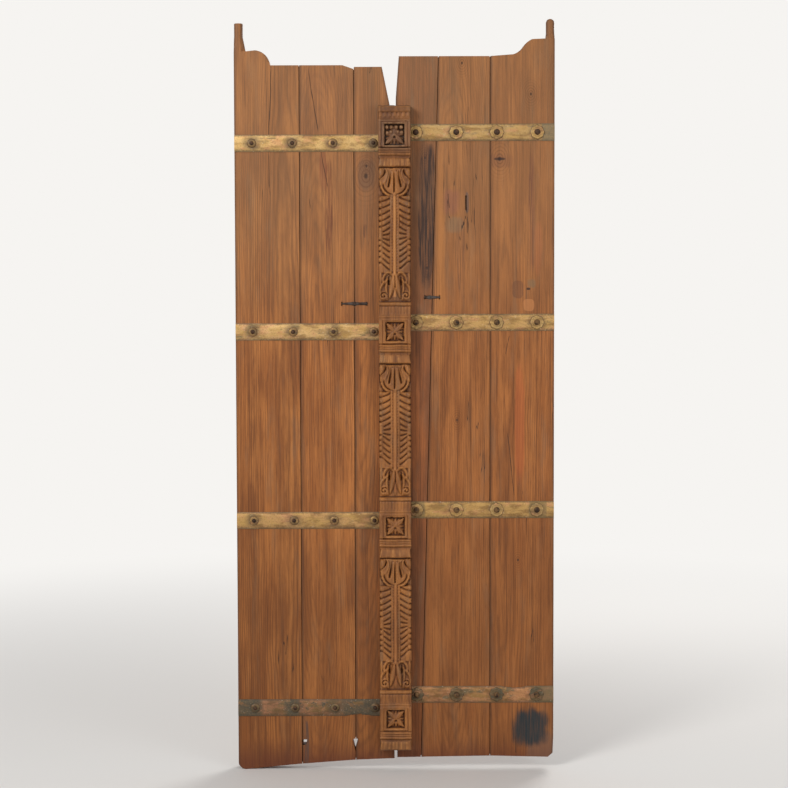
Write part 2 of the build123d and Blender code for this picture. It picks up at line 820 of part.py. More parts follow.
with BuildPart() as post:
    points = [(face_y, post_bottom), *reversed(profile_points(foot, first_block))]
    for centre in block_centres[1:]:
        bay = profile_points((*under_block, *fascia, *shelf_and_band, *over_block), centre)
        points += reversed(bay)
    points += [*profile_points(head, block_centres[-1]), (face_y, post_top)]
    extrude(drawn(Plane.YZ.offset(-post_half), points), amount=post_width)
    panel_edges = post.edges().filter_by(Axis.Z).group_by(lambda edge: round(edge.center().Y, 2))
    arrises = [group for group in panel_edges if abs(group[0].center().Y - face_y + ground) < 0.1]
    chamfer(arrises[0], arris)
    with Locations((post_half / 2, face_y, (post_bottom + post_top) / 2)):
        Box(post_half, 2 * post_running_gap, post_top - post_bottom, mode=Mode.SUBTRACT)
    notch_width = strap_width + 2 * post_running_gap
    strap_room = 2 * (strap_thickness + post_running_gap)
    for side, heights in sides.values():
        for height in heights:
            notch_start = strap_start - post_running_gap
            with Locations((side * (notch_start + post_half) / 2, face_y, height)):
                Box(post_half - notch_start, strap_room, notch_width, mode=Mode.SUBTRACT)
    rosette_room = strap_room + 2 * rosette_thickness
    rosette_start = nail_post_inset - rosette_radius - 2 * post_running_gap
    for height in right_strap_heights:
        with Locations(((rosette_start + post_half) / 2, face_y, height)):
            Box(
                post_half - rosette_start,
                rosette_room,
                2 * rosette_radius + 2,
                mode=Mode.SUBTRACT,
            )
    for level in post_nail_levels:
        with Locations((-post_nail_inset, face_y - post_nail_grip / 2, level)):
            Box(nail_size, post_nail_grip, nail_size, mode=Mode.SUBTRACT)
    block_y, ground_y = face_y - post_depth, face_y - ground
    frames = [square(z, recess_half + 2 * frame_groove_width) for z in block_centres]
    inner_frames = [square(z, recess_half + frame_groove_width) for z in block_centres]
    with BuildSketch(front(block_y)) as grooves:
        for outer, inner in zip(frames, inner_frames):
            Polygon(*outer, align=None)
            Polygon(*inner, align=None, mode=Mode.SUBTRACT)
    extrude(grooves.sketch, amount=-frame_groove_depth, mode=Mode.SUBTRACT)
    recesses = [square(z, recess_half) for z in block_centres]
    carve(recesses, block_y, -recess_depth, mode=Mode.SUBTRACT)
    flowers = [outline for z in block_centres for outline in petal_outlines(z)]
    carve(flowers, block_y + recess_depth, recess_depth - petal_sunk)
    with BuildSketch(front(block_y + recess_depth)) as bosses:
        with Locations([(0, z) for z in block_centres]):
            RegularPolygon(boss_radius, petals)
    extrude(bosses.sketch, amount=recess_depth - boss_sunk)
    panels = block_centres[1:]
    for z in panels:
        stem = drawn(Plane.XY.offset(z - feather_bottom - arris), shaft_section())
        extrude(stem, amount=feather_bottom - capital_bottom + 2 * arris)
    feathers = [outline for z in panels for outline in feather_outlines(z)]
    carve(feathers, ground_y + arris, arris + leaf_rise)
    extrude([cup(z).face() for z in panels], amount=cup_rise, taper=relief_slope)
    carve([bell(z) for z in panels], ground_y, bell_rise)
    carve([tip for z in panels for tip in corner_tips(z)], ground_y, bell_rise)
    slots, drop_leaves, upper_leaves, lower_leaves, volutes = [], [], [], [], []
    for z in panels:
        bell_top = z - capital_top
        bud_z = z - feather_bottom - bud_radius
        for side in -1, 1:
            bell_edge = side * (bell_width / 2 - bell_swell)
            slot = 180 + side * slot_turn, slot_start, slot_length, slot_width
            slots.append(lens(bell_edge, bell_top, *slot))
            drop = lens(side * bud_radius, bud_z, 180, 0, drop_leaf_length, drop_leaf_width)
            drop_leaves.append(drop)
            shape = bud_radius, side_leaf_length, side_leaf_width
            upper_leaves.append(lens(0, bud_z, side * side_leaf_turns[0], *shape))
            lower_leaves.append(lens(0, bud_z, side * side_leaf_turns[1], *shape))
            corner_x = side * (post_half - volute_radius - volute_inset)
            volutes.append((corner_x, z - shelf_top + volute_radius + 2 * volute_inset))
    carve(slots, ground_y - bell_rise, -bell_rise / 2, mode=Mode.SUBTRACT)
    for leaves in upper_leaves, lower_leaves:
        carve(leaves, ground_y, scroll_rise - leaf_step)
    carve(drop_leaves, ground_y, scroll_rise)
    with BuildSketch(front(ground_y)) as scrolls:
        with Locations(volutes):
            RegularPolygon(volute_radius, volute_sides)
    extrude(scrolls.sketch, amount=scroll_rise)
    band_cuts(panels, -band_bottom, -band_top, reeds, band_back)
    band_cuts(block_centres[-1:], dentil_bottom, dentil_top, dentils, dentil_back)
    flares = []
    for z in panels:
        for side in -1, 1:
            flare = (
                (side * post_half, z - fascia_bottom),
                (side * post_half, z - fascia_top),
                (side * (post_half - fascia_flare), z - fascia_top),
            )
            flares.append(flare if side > 0 else flare[::-1])
    carve(flares, block_y, -ground_depth, mode=Mode.SUBTRACT)
save(post, "carved_center_post")

# Nails driven from behind, through the left leaf's inner plank, that hold the post
with BuildPart() as post_nails:
    for level in post_nail_levels:
        with BuildSketch(front(back_y)):
            with Locations((-post_nail_inset, level)):
                RegularPolygon(left_head_radius, 8)
        extrude(amount=-left_head_height)
        length = plank_thickness + post_nail_grip
        with Locations((-post_nail_inset, back_y - length / 2, level)):
            Box(nail_size, length, nail_size)
save(post_nails, "post_nails")
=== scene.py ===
import math

import bmesh
import bpy
import numpy as np
from mathutils import Matrix, Vector, noise


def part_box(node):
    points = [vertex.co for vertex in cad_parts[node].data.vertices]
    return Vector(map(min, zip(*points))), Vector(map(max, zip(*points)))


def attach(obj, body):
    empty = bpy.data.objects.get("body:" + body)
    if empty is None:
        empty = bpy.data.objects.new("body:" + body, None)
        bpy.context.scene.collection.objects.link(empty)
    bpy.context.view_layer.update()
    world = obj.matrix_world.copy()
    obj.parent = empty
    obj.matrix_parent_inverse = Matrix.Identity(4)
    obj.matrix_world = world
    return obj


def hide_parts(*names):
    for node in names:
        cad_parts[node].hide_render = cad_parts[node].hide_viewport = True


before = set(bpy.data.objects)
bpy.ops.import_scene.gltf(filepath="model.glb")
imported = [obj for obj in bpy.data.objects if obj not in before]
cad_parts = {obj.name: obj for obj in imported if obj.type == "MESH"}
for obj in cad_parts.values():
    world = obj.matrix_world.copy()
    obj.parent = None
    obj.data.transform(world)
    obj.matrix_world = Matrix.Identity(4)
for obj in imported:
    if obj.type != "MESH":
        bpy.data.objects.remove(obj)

scene = bpy.context.scene
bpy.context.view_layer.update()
mm = 0.001

# Camera and studio. The camera stands 4.5 m in front of the planks, a little above the middle of the
# door, and looks slightly down at it. A pale floor fades into a white background, and large soft
# lamps in front and behind light the wood evenly.
face_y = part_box("left_middle_plank")[0].y
back_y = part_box("left_middle_plank")[1].y
camera_aside = -3.1 * mm
camera_distance = 4.5
camera_height = 1.3094
camera_pitch = math.radians(2.651)
camera_roll = math.radians(0.1445)
camera_lens = 70.89
camera = bpy.data.objects.new("Camera", bpy.data.cameras.new("Camera"))
camera.data.lens = camera_lens
camera.data.clip_end = 100
camera.location = (camera_aside, face_y - camera_distance, camera_height)
look = Matrix.Rotation(math.pi / 2 - camera_pitch, 3, "X") @ Matrix.Rotation(-camera_roll, 3, "Z")
camera.rotation_euler = look.to_euler()
scene.collection.objects.link(camera)
scene.camera = camera


class Value:
    """A number, colour or vector in a shader. Numbers can be added, multiplied and so on."""

    def __init__(self, socket):
        self.socket = socket
        self.tree = socket.id_data

    def __add__(self, other):
        return calc("ADD", self, other)

    def __sub__(self, other):
        return calc("SUBTRACT", self, other)

    def __mul__(self, other):
        return calc("MULTIPLY", self, other)

    def __truediv__(self, other):
        return calc("DIVIDE", self, other)


def feed(node, inputs):
    """Sets a node's inputs, each to a number, a colour or the Value that drives it."""
    for name, value in dict(inputs).items():
        if isinstance(value, Value):
            value.tree.links.new(value.socket, node.inputs[name])
        else:
            node.inputs[name].default_value = value


def put(tree, kind, inputs=(), output=0, **settings):
    """Adds a shader node and returns one of its outputs."""
    made = tree.nodes.new("ShaderNode" + kind)
    for name, value in settings.items():
        setattr(made, name, value)
    feed(made, inputs)
    return Value(made.outputs[output])


def tree_of(*values):
    """The node tree of the first Value among some numbers and Values."""
    return next(value.tree for value in values if isinstance(value, Value))


def calc(operation, *values):
    """The result of a sum on numbers and Values."""
    return put(tree_of(*values), "Math", enumerate(values), operation=operation)


def span(value, low, high):
    """0 below low, 1 above high and a smooth step between, or the other way round."""
    inputs = {"Value": value, "From Min": low, "From Max": high}
    return put(value.tree, "MapRange", inputs, interpolation_type="SMOOTHSTEP")


def tint(amount, under, over):
    """Lays one colour over another. A plain colour is given as srgb takes it."""
    under, over = (srgb(*c) if isinstance(c, tuple) else c for c in (under, over))
    return put(tree_of(amount, under), "Mix", {0: amount, 6: under, 7: over}, 2, data_type="RGBA")


def shader(name):
    """A new material, its surface shader and the place on the object."""
    material = bpy.data.materials.new(name)
    material.use_nodes = True
    tree = material.node_tree
    return material, tree.nodes["Principled BSDF"], put(tree, "TexCoord", output="Object")


def srgb(red, green, blue):
    """A colour as seen on a screen, from 0 to 255 a channel, for a shader."""
    return [((c / 255 + 0.055) / 1.055) ** 2.4 if c > 10 else c / 3295 for c in (red, green, blue)] + [1]


def new_object(name, shape):
    """A new object in the scene, made of a built shape."""
    made = bpy.data.objects.new(name, bpy.data.meshes.new(name))
    shape.to_mesh(made.data)
    shape.free()
    scene.collection.objects.link(made)
    return made


background = srgb(246, 244, 241)
floor_size = 60
fade_start, fade_end = 0.7, 4.5
sheet = bmesh.new()
bmesh.ops.create_circle(sheet, cap_ends=True, segments=96, radius=floor_size / 2)
floor = new_object("studio_floor", sheet)
pale, surface, place = shader("pale_floor")
feed(surface, {"Base Color": srgb(222, 218, 212), "Roughness": 0.85})
tree = place.tree
away = put(tree, "VectorMath", {0: place}, "Value", operation="LENGTH")
fade = span(away, fade_start, fade_end) * put(tree, "LightPath", output="Is Camera Ray")
glow = put(tree, "Emission", {"Color": background, "Strength": 1.0})
blended = put(tree, "MixShader", {0: fade, 1: Value(surface.outputs[0]), 2: glow})
feed(tree.nodes["Material Output"], {"Surface": blended})
floor.data.materials.append(pale)

world = bpy.data.worlds.new("Studio")
world.use_nodes = True
scene.world = world
tree = world.node_tree
seen, shiny, through = (
    put(tree, "LightPath", output=f"Is {ray} Ray") for ray in ("Camera", "Glossy", "Transmission")
)
shown = calc("MAXIMUM", calc("MAXIMUM", seen, shiny), through)
ambient = put(tree, "Background", {"Color": srgb(240, 243, 250), "Strength": 0.42})
plain = put(tree, "Background", {"Color": background, "Strength": 1.0})
both = put(tree, "MixShader", {0: shown, 1: ambient, 2: plain})
feed(tree.nodes["World Output"], {"Surface": both})

door_middle = Vector((0, 0, 1.0))
lamps = {
    "key_lamp": ((-2.6, -3.4, 3.4), 1.8, 125),
    "fill_lamp": ((2.9, -3.2, 1.7), 2.2, 38),
    "back_lamp": ((1.8, 3.2, 2.9), 2.2, 95),
}
for name, (spot, size, power) in lamps.items():
    lamp = bpy.data.objects.new(name, bpy.data.lights.new(name, "AREA"))
    lamp.data.shape = "DISK"
    lamp.data.size = size
    lamp.data.energy = power
    lamp.location = spot
    lamp.rotation_euler = (door_middle - lamp.location).to_track_quat("-Z", "Y").to_euler()
    scene.collection.objects.link(lamp)
scene.view_settings.view_transform = "Standard"

# Teak planks. Three boards a leaf, half lapped, sawn by hand from slow-grown teak. Their edges
# are rubbed round, their faces are worn into shallow waves, and the grain, knots and cracks of
# each board are its own.
plank_cells = 9
plank_level = 9 * mm
wave_depth = 0.9 * mm
chip_depth = 1.2 * mm
chip_reach = 6 * mm
face_skin = 3 * mm
edge_reach = 26 * mm
ring_width = 5.2 * mm
same_point = 0.01 * mm
board_corner = math.radians(40)


def unit(values):
    """Numbers held between 0 and 1."""
    return np.clip(values, 0, 1)


def worn_shell(node, depth):
    """A copy of a CAD node as one surface of even cells, whose number grows with depth."""
    welded = bmesh.new()
    welded.from_mesh(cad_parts[node].data)
    bmesh.ops.remove_doubles(welded, verts=welded.verts, dist=same_point)
    shell = new_object(node + "_worn", welded)
    cells = shell.modifiers.new("Cells", "REMESH")
    cells.mode = "SHARP"
    cells.octree_depth = depth
    cells.scale = 0.99
    cells.use_remove_disconnected = False
    cells.use_smooth_shade = True
    finished = bpy.data.meshes.new_from_object(shell.evaluated_get(bpy.context.evaluated_depsgraph_get()))
    shell.modifiers.clear()
    shell.data = finished
    return shell


def corners(mesh):
    """The mesh's points, as rows of X, Y and Z."""
    flat = np.empty(len(mesh.vertices) * 3)
    mesh.vertices.foreach_get("co", flat)
    return flat.reshape(-1, 3)


def set_corners(mesh, points):
    mesh.vertices.foreach_set("co", points.ravel())
    mesh.update()


def waves(points, size, seed):
    """Smooth noise from -1 to 1 at each point, in patches of the given size along X, Y and Z."""
    start = Vector((seed * 7.3, seed * 3.1, seed * 5.7))
    return np.array([noise.noise(Vector(point) + start) for point in points / np.array(size)])


def store(mesh, name, values):
    """Keeps a number for each point, for the material to read."""
    layer = mesh.attributes.new(name, "FLOAT", "POINT")
    layer.data.foreach_set("value", values.astype(np.float32))


def mottle(place, size, detail=2.0, rough=0.5):
    """Cloudy noise from 0 to 1, in patches of the given size along X, Y and Z."""
    scaled = put(place.tree, "Mapping", {"Vector": place, "Scale": [1 / s for s in size]})
    inputs = {"Vector": scaled, "Scale": 1.0, "Detail": detail, "Roughness": rough}
    return put(place.tree, "TexNoise", inputs)


def shifted(place, x, y, z):
    """A place moved along, so that each piece gets its own part of the noise."""
    return put(place.tree, "VectorMath", {0: place, 1: (x, y, z)})


def axes_of(place):
    """A place's X, Y and Z."""
    return [Value(axis) for axis in put(place.tree, "SeparateXYZ", {0: place}).socket.node.outputs]


def mark(place, name):
    """The number that store kept for each point of the mesh."""
    return put(place.tree, "Attribute", output="Fac", attribute_name=name)


def bump(height, strength, depth):
    """The tilt that fine relief gives to a surface."""
    return put(height.tree, "Bump", {"Strength": strength, "Distance": depth, "Height": height})


def layered(colour, layers):
    """A colour with others laid over it in turn, each given as an amount and a colour."""
    for amount, over in layers:
        colour = tint(amount, colour, over)
    return colour


def knot_at(x, z, spot, radius):
    """How near a place is to a knot, 1 in its eye, and how far across and away, in knot radii."""
    across = (x - spot[0]) / radius
    along = (z - spot[1]) / (1.5 * radius)
    squares = across * across + along * along
    return calc("EXPONENT", squares * -1.0), across, calc("SQRT", squares)


def crack_at(x, z, start, end, width, wobble):
    """A crack along a straight line: 1 in it and 0 beside it."""
    (x0, z0), (x1, z1) = start, end
    middle = (z - z0) * ((x1 - x0) / (z1 - z0)) + x0 + wobble
    line = span(calc("ABSOLUTE", x - middle), width, 0.3 * width)
    low, high = sorted((z0, z1))
    taper = 0.12 * (high - low)
    return line * (span(z, low, low + taper) * span(z, high, high - taper))


def cloud_mask(moved, x, z, middle, reach, softness):
    """A ragged patch on a board, 1 inside and 0 outside."""
    across = calc("ABSOLUTE", (x - middle[0]) / reach[0])
    along = calc("ABSOLUTE", (z - middle[1]) / reach[1])
    away = calc("POWER", across, 3.0) + calc("POWER", along, 3.0)
    ragged = mottle(moved, (0.02, 0.05, 0.05), 3.0)
    away = (ragged - 0.5) * (0.8 + 1.6 * softness) + away
    return span(away, 1.0 + softness, 1.0 - softness)


def teak(name, board):
    """Oiled old teak: growth rings cut by the saw, pores, streaks, stains, knots and cracks."""
    material, surface, place = shader(name)
    tree, seed = place.tree, board["seed"]
    light, dark, warm, line = board["tones"]
    x, y, z = axes_of(place)
    if board.get("lying"):
        x, z = z, x
        place = put(tree, "CombineXYZ", {0: x, 1: y, 2: z})
    moved = shifted(place, seed * 1.7, seed * 0.9, seed * 2.3)
    wander = mottle(moved, (0.09, 0.2, 0.55), 3.0)
    ripple = mottle(moved, (0.025, 0.1, 0.16))
    streaks = mottle(moved, (0.0045, 0.03, 0.28), 4.0, 0.68)
    thin = mottle(moved, (0.0018, 0.02, 0.09), 3.0, 0.6)
    fibres = mottle(moved, (0.0012, 0.004, 0.06), 3.0, 0.6)
    pores = span(mottle(moved, (0.0011, 0.004, 0.022)), 0.60, 0.74)
    patches = mottle(moved, (0.06, 0.3, 0.26), 4.0, 0.6)
    bands = mottle(moved, (0.012, 0.05, 0.6), 3.0, 0.6)
    grey = mottle(moved, (0.03, 0.2, 0.2), 4.0, 0.6)

    pith_x, pith_z = board["pith"]
    rise = z - pith_z
    deep = rise * (rise * board["bow"] + board.get("lean", 0.0)) + board["depth"]
    deep = ripple * 0.01 + (deep + (y - face_y))
    aside = wander * 0.03 + (x - pith_x)
    eyes = whorls = 0.0
    for spot, radius in board.get("knots", ()):
        near, across, away = knot_at(x, z, spot, radius)
        aside = aside + near * across * (-0.9 * radius)
        turns = calc("COSINE", wander * 9.0 + away * 11.0)
        whorls = calc("MAXIMUM", whorls, span(turns, 0.1, 0.9) * calc("POWER", near, 0.14))
        eyes = calc("MAXIMUM", eyes, span(away, 0.5, 0.15))
    both = put(tree, "CombineXYZ", {0: aside, 1: deep, 2: 0.0})
    radius = put(tree, "VectorMath", {0: both}, "Value", operation="LENGTH")
    rings = radius / board.get("ring", ring_width)
    late = calc("COSINE", rings * (2 * math.pi)) * 0.5 + 0.5
    late = late * late * span(wander, 0.3, 0.6)

    checks = calc("ABSOLUTE", mottle(moved, (0.02, 0.05, 0.5)) - 0.5)
    cracked = span(checks, 0.006, 0.002) * span(mottle(moved, (0.08, 0.2, 0.3), 1.0), 0.6, 0.7)
    wobble = (ripple - 0.5) * 0.012
    for start, end, width in board.get("cracks", ()):
        cracked = calc("MAXIMUM", cracked, crack_at(x, z, start, end, width, wobble))
    cracked = calc("MAXIMUM", cracked, eyes * 0.85)

    layers = [
        (calc("PINGPONG", rings * 0.19, 1.0) * 0.4, warm),
        (span(bands, 0.48, 0.64) * 0.5, dark),
        (span(bands, 0.46, 0.32) * 0.4, light),
        (late * board.get("grain", 0.36), line),
        (span(streaks, 0.5, 0.72) * 0.72, line),
        (span(streaks, 0.45, 0.25) * 0.6, light),
        (span(thin, 0.52, 0.7) * 0.5, line),
        (pores * 0.4, line),
        (span(grey, 0.5, 0.72) * board.get("grey", 0.3), (122, 96, 72)),
    ]
    if not board.get("lying"):
        bleached, soaked = span(z, 1.1, 1.75), span(z, 0.95, 0.4)
        splashed = span(z, 0.11, 0.01) * span(patches, 0.25, 0.5)
        layers += [
            (bleached * 0.34, (152, 114, 76)),
            (soaked * 0.3, (102, 58, 18)),
            (splashed * 0.75, (90, 42, 24)),
        ]
    for middle, reach, softness, amount, stain, streaked in board.get("marks", ()):
        mask = cloud_mask(moved, x, z, middle, reach, softness) * amount
        if streaked:
            mask = mask * span(thin, 0.36, 0.58)
        layers.append((mask, stain))
    layers += [
        (whorls * 0.4, line),
        (span(mark(place, "edge"), 0.35, 0.0) * 0.6, (74, 46, 28)),
        (cracked * 0.85, (40, 24, 16)),
    ]
    height = fibres * 0.5 - late * 0.3 + streaks * 0.5 - pores * 0.5 - cracked * 2.0
    feed(surface, {
        "Base Color": layered(tint(span(patches, 0.36, 0.64), dark, light), layers),
        "Roughness": streaks * 0.25 + 0.5,
        "Normal": bump(height, 0.55, 0.7 * mm),
        "Specular IOR Level": 0.35,
    })
    return material


# The tones of a board are its light and dark wood, its warm bands and its lines. A mark is a
# stain: its middle, reach, softness, amount and colour, and whether the grain streaks it.
boards = {
    "left_outer_plank": {
        "pith": (-0.30, 1.3), "depth": 0.05, "bow": 0.01, "lean": 0.01, "seed": 1, "grain": 0.55,
        "tones": ((180, 114, 56), (132, 77, 34), (168, 97, 40), (88, 47, 20)),
        "cracks": [
            ((-0.354, 2.051), (-0.363, 1.80), 1.5 * mm),
            ((-0.363, 1.80), (-0.362, 1.691), 1.2 * mm),
        ],
    },
    "left_middle_plank": {
        "pith": (-0.207, 1.02), "depth": 0.012, "bow": 0.06, "seed": 2,
        "tones": ((188, 119, 60), (138, 81, 36), (170, 99, 42), (86, 46, 22)),
        "cracks": [
            ((-0.248, 2.046), (-0.220, 1.849), 1.4 * mm),
            ((-0.220, 1.849), (-0.192, 1.691), 1.2 * mm),
        ],
        "marks": [
            ((-0.190, 1.64), (0.011, 0.13), 0.5, 0.8, (104, 56, 34), True),
            ((-0.206, 1.75), (0.010, 0.06), 0.6, 0.5, (134, 72, 44), True),
            ((-0.2615, 0.075), (0.006, 0.065), 0.4, 0.85, (78, 62, 54), True),
            ((-0.210, 1.94), (0.08, 0.12), 0.9, 0.4, (120, 80, 54), True),
        ],
    },
    "left_inner_plank": {
        "pith": (-0.081, 1.74), "depth": 0.02, "bow": 0.03, "seed": 3,
        "tones": ((176, 109, 52), (132, 78, 36), (160, 90, 38), (82, 45, 22)),
        "knots": [((-0.0805, 1.7594), 9 * mm), ((-0.0823, 1.7307), 16 * mm)],
        "marks": [
            ((-0.081, 1.735), (0.024, 0.042), 0.7, 0.5, (104, 78, 58), False),
            ((-0.085, 1.573), (0.006, 0.02), 0.6, 0.6, (88, 56, 40), True),
            ((-0.075, 1.78), (0.03, 0.2), 0.9, 0.3, (112, 76, 52), True),
        ],
    },
    "right_inner_plank": {
        "pith": (0.2, 1.2), "depth": 0.08, "bow": 0.01, "seed": 4, "grey": 0.5,
        "tones": ((166, 98, 50), (114, 68, 38), (146, 82, 38), (72, 40, 22)),
        "knots": [((0.0905, 1.598), 8 * mm), ((0.0879, 1.782), 8 * mm), ((0.0932, 1.4656), 9 * mm)],
        "cracks": [((0.1032, 0.3215), (0.1031, 0.2536), 1.6 * mm)],
        "marks": [
            ((0.085, 1.62), (0.034, 0.22), 0.8, 0.45, (98, 62, 38), False),
            ((0.094, 1.62), (0.024, 0.2), 0.35, 0.95, (44, 31, 26), True),
        ],
    },
    "right_middle_plank": {
        "pith": (0.18, 1.03), "depth": 0.012, "bow": 0.05, "seed": 5,
        "tones": ((177, 111, 56), (138, 82, 38), (166, 97, 42), (86, 47, 20)),
        "knots": [((0.1947, 2.0531), 9 * mm), ((0.1797, 1.025), 8 * mm)],
        "cracks": [
            ((0.2105, 1.616), (0.212, 1.563), 1.2 * mm),
            ((0.155, 1.682), (0.157, 1.636), 1.0 * mm),
        ],
        "marks": [
            ((0.163, 1.655), (0.024, 0.035), 0.9, 0.4, (142, 86, 70), False),
            ((0.173, 1.59), (0.024, 0.022), 0.9, 0.5, (132, 108, 80), False),
            ((0.134, 1.5), (0.012, 0.28), 0.9, 0.35, (182, 118, 60), False),
            ((0.190, 1.50), (0.012, 0.10), 0.9, 0.5, (112, 74, 50), True),
            ((0.209, 1.653), (0.005, 0.03), 0.4, 0.7, (92, 74, 66), False),
        ],
    },
    "right_outer_plank": {
        "pith": (0.33, 1.1), "depth": 0.06, "bow": 0.012, "seed": 6,
        "tones": ((178, 111, 55), (138, 82, 38), (166, 96, 42), (86, 46, 20)),
        "knots": [((0.3932, 1.9642), 9 * mm), ((0.303, 1.779), 12 * mm), ((0.3574, 0.6153), 8 * mm)],
        "cracks": [
            ((0.325, 0.995), (0.3485, 0.798), 1.4 * mm),
            ((0.3522, 0.0989), (0.3522, 0.0425), 1.4 * mm),
            ((0.3335, 1.2714), (0.319, 1.2135), 1.2 * mm),
        ],
        "marks": [
            ((0.303, 1.775), (0.034, 0.02), 0.9, 0.4, (118, 76, 52), False),
            ((0.304, 1.779), (0.017, 0.004), 0.6, 0.85, (48, 32, 26), False),
            ((0.396, 1.62), (0.008, 0.16), 0.8, 0.55, (112, 66, 50), True),
            ((0.415, 1.52), (0.012, 0.07), 0.8, 0.3, (182, 104, 60), False),
            ((0.396, 1.42), (0.012, 0.013), 0.8, 0.6, (120, 100, 72), False),
            ((0.387, 1.405), (0.006, 0.004), 0.5, 0.85, (40, 28, 24), False),
            ((0.362, 1.01), (0.014, 0.17), 0.5, 0.45, (188, 98, 50), False),
            ((0.356, 1.403), (0.016, 0.026), 0.15, 0.4, (92, 58, 42), False),
            ((0.388, 1.358), (0.016, 0.018), 0.15, 0.5, (198, 130, 76), False),
            ((0.425, 0.06), (0.04, 0.05), 0.8, 0.5, (112, 84, 68), False),
            ((0.380, 0.125), (0.040, 0.058), 0.8, 0.7, (48, 38, 34), True),
            ((0.396, 0.121), (0.050, 0.051), 0.8, 0.8, (30, 40, 44), False),
            ((0.400, 0.121), (0.042, 0.045), 0.7, 0.8, (28, 40, 44), True),
        ],
    },
}


def nearest_edge(points):
    """How far each point lies from its board's nearer long edge, at its own height."""
    level = np.round(points[:, 2] / plank_level).astype(int)
    level -= level.min()
    low = np.full(level.max() + 1, np.inf)
    high = -low
    np.minimum.at(low, level, points[:, 0])
    np.maximum.at(high, level, points[:, 0])
    return np.minimum(points[:, 0] - low[level], high[level] - points[:, 0])


for node, board in boards.items():
    plank = worn_shell(node, plank_cells)
    points = corners(plank.data)
    from_edge = nearest_edge(points)
    swell = waves(points, (70 * mm, 200 * mm, 420 * mm), board["seed"])
    chips = waves(points, (18 * mm, 30 * mm, 60 * mm), board["seed"] + 20)
    near_edge = unit(1 - from_edge / chip_reach)
    inward = wave_depth * (0.5 + 0.5 * swell) + chip_depth * near_edge * unit(chips + 0.1)
    on_face = points[:, 1] < face_y + face_skin
    on_back = points[:, 1] > back_y - face_skin
    points[on_face, 1] += inward[on_face]
    points[on_back, 1] -= inward[on_back]
    set_corners(plank.data, np.clip(points, *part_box(node)))
    plank.data.set_sharp_from_angle(angle=board_corner)
    store(plank.data, "edge", unit(from_edge / edge_reach))
    plank.data.materials.append(teak(node + "_teak", board))
    side = node.split("_")[0]
    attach(plank, side + "_leaf")
    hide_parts(node)

# Slit floor. The slit in the right middle plank is a split that ends inside the board: weathered
# wood shows a third of the way in.
slit_low = Vector((0.198, face_y + 11 * mm, 1.625))
slit_high = Vector((0.214, face_y + 13 * mm, 1.681))
split = bmesh.new()
for vert in bmesh.ops.create_cube(split, size=1)["verts"]:
    vert.co = [a + (b - a) * (c + 0.5) for a, b, c in zip(slit_low, slit_high, vert.co)]
slit_floor = new_object("slit_floor", split)
store(slit_floor.data, "edge", np.zeros(8))
slit_floor.data.materials.append(bpy.data.materials["right_middle_plank_teak"])
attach(slit_floor, "right_leaf")

# Brass straps. Hammered strips, thicker along the middle, that run from under the post to the
# hinge edge. Their edges waver, their faces are dented, and old polish, dirt and verdigris lie on
# them, with painted shade along their lower edges; the lowest pair is torn.
strap_cell = 3.5 * mm
strap_rows = 15
strap_foot = face_y + 1.6 * mm
edge_wander = 0.8 * mm
dent_depth = 0.5 * mm
tear_depth = 7 * mm
metal_corner = math.radians(48)


def slab(name, columns, rows, shape, foot_y):
    """An even sheet of cells bent to a shape, with plain sides back to foot_y.

    The shape is given each corner's place across and up the sheet, from 0 to 1, and returns the
    corner's X, Y and Z, and a dictionary of the marks that the material reads.
    """
    sheet = bmesh.new()
    bmesh.ops.create_grid(sheet, x_segments=columns, y_segments=rows, size=0.5)
    made = new_object(name, sheet)
    flat = corners(made.data) + 0.5
    x, y, z, marks = shape(flat[:, 0], flat[:, 1])
    set_corners(made.data, np.stack((x, y, z), axis=1))
    for mark, values in marks.items():
        store(made.data, mark, values)
    sheet = bmesh.new()
    sheet.from_mesh(made.data)
    rim = [edge for edge in sheet.edges if edge.is_boundary]
    for part in bmesh.ops.extrude_edge_only(sheet, edges=rim)["geom"]:
        if isinstance(part, bmesh.types.BMVert):
            part.co.y = foot_y
    bmesh.ops.recalc_face_normals(sheet, faces=sheet.faces)
    sheet.to_mesh(made.data)
    sheet.free()
    smooth(made)
    return made


def smooth(made):
    """Makes an object smooth but for its sharp corners."""
    made.data.polygons.foreach_set("use_smooth", [True] * len(made.data.polygons))
    made.data.set_sharp_from_angle(angle=metal_corner)


def centre_line(box):
    """A box's middle X and Z, and half its width and height."""
    low, high = box
    return (low.x + high.x) / 2, (low.z + high.z) / 2, (high.x - low.x) / 2, (high.z - low.z) / 2


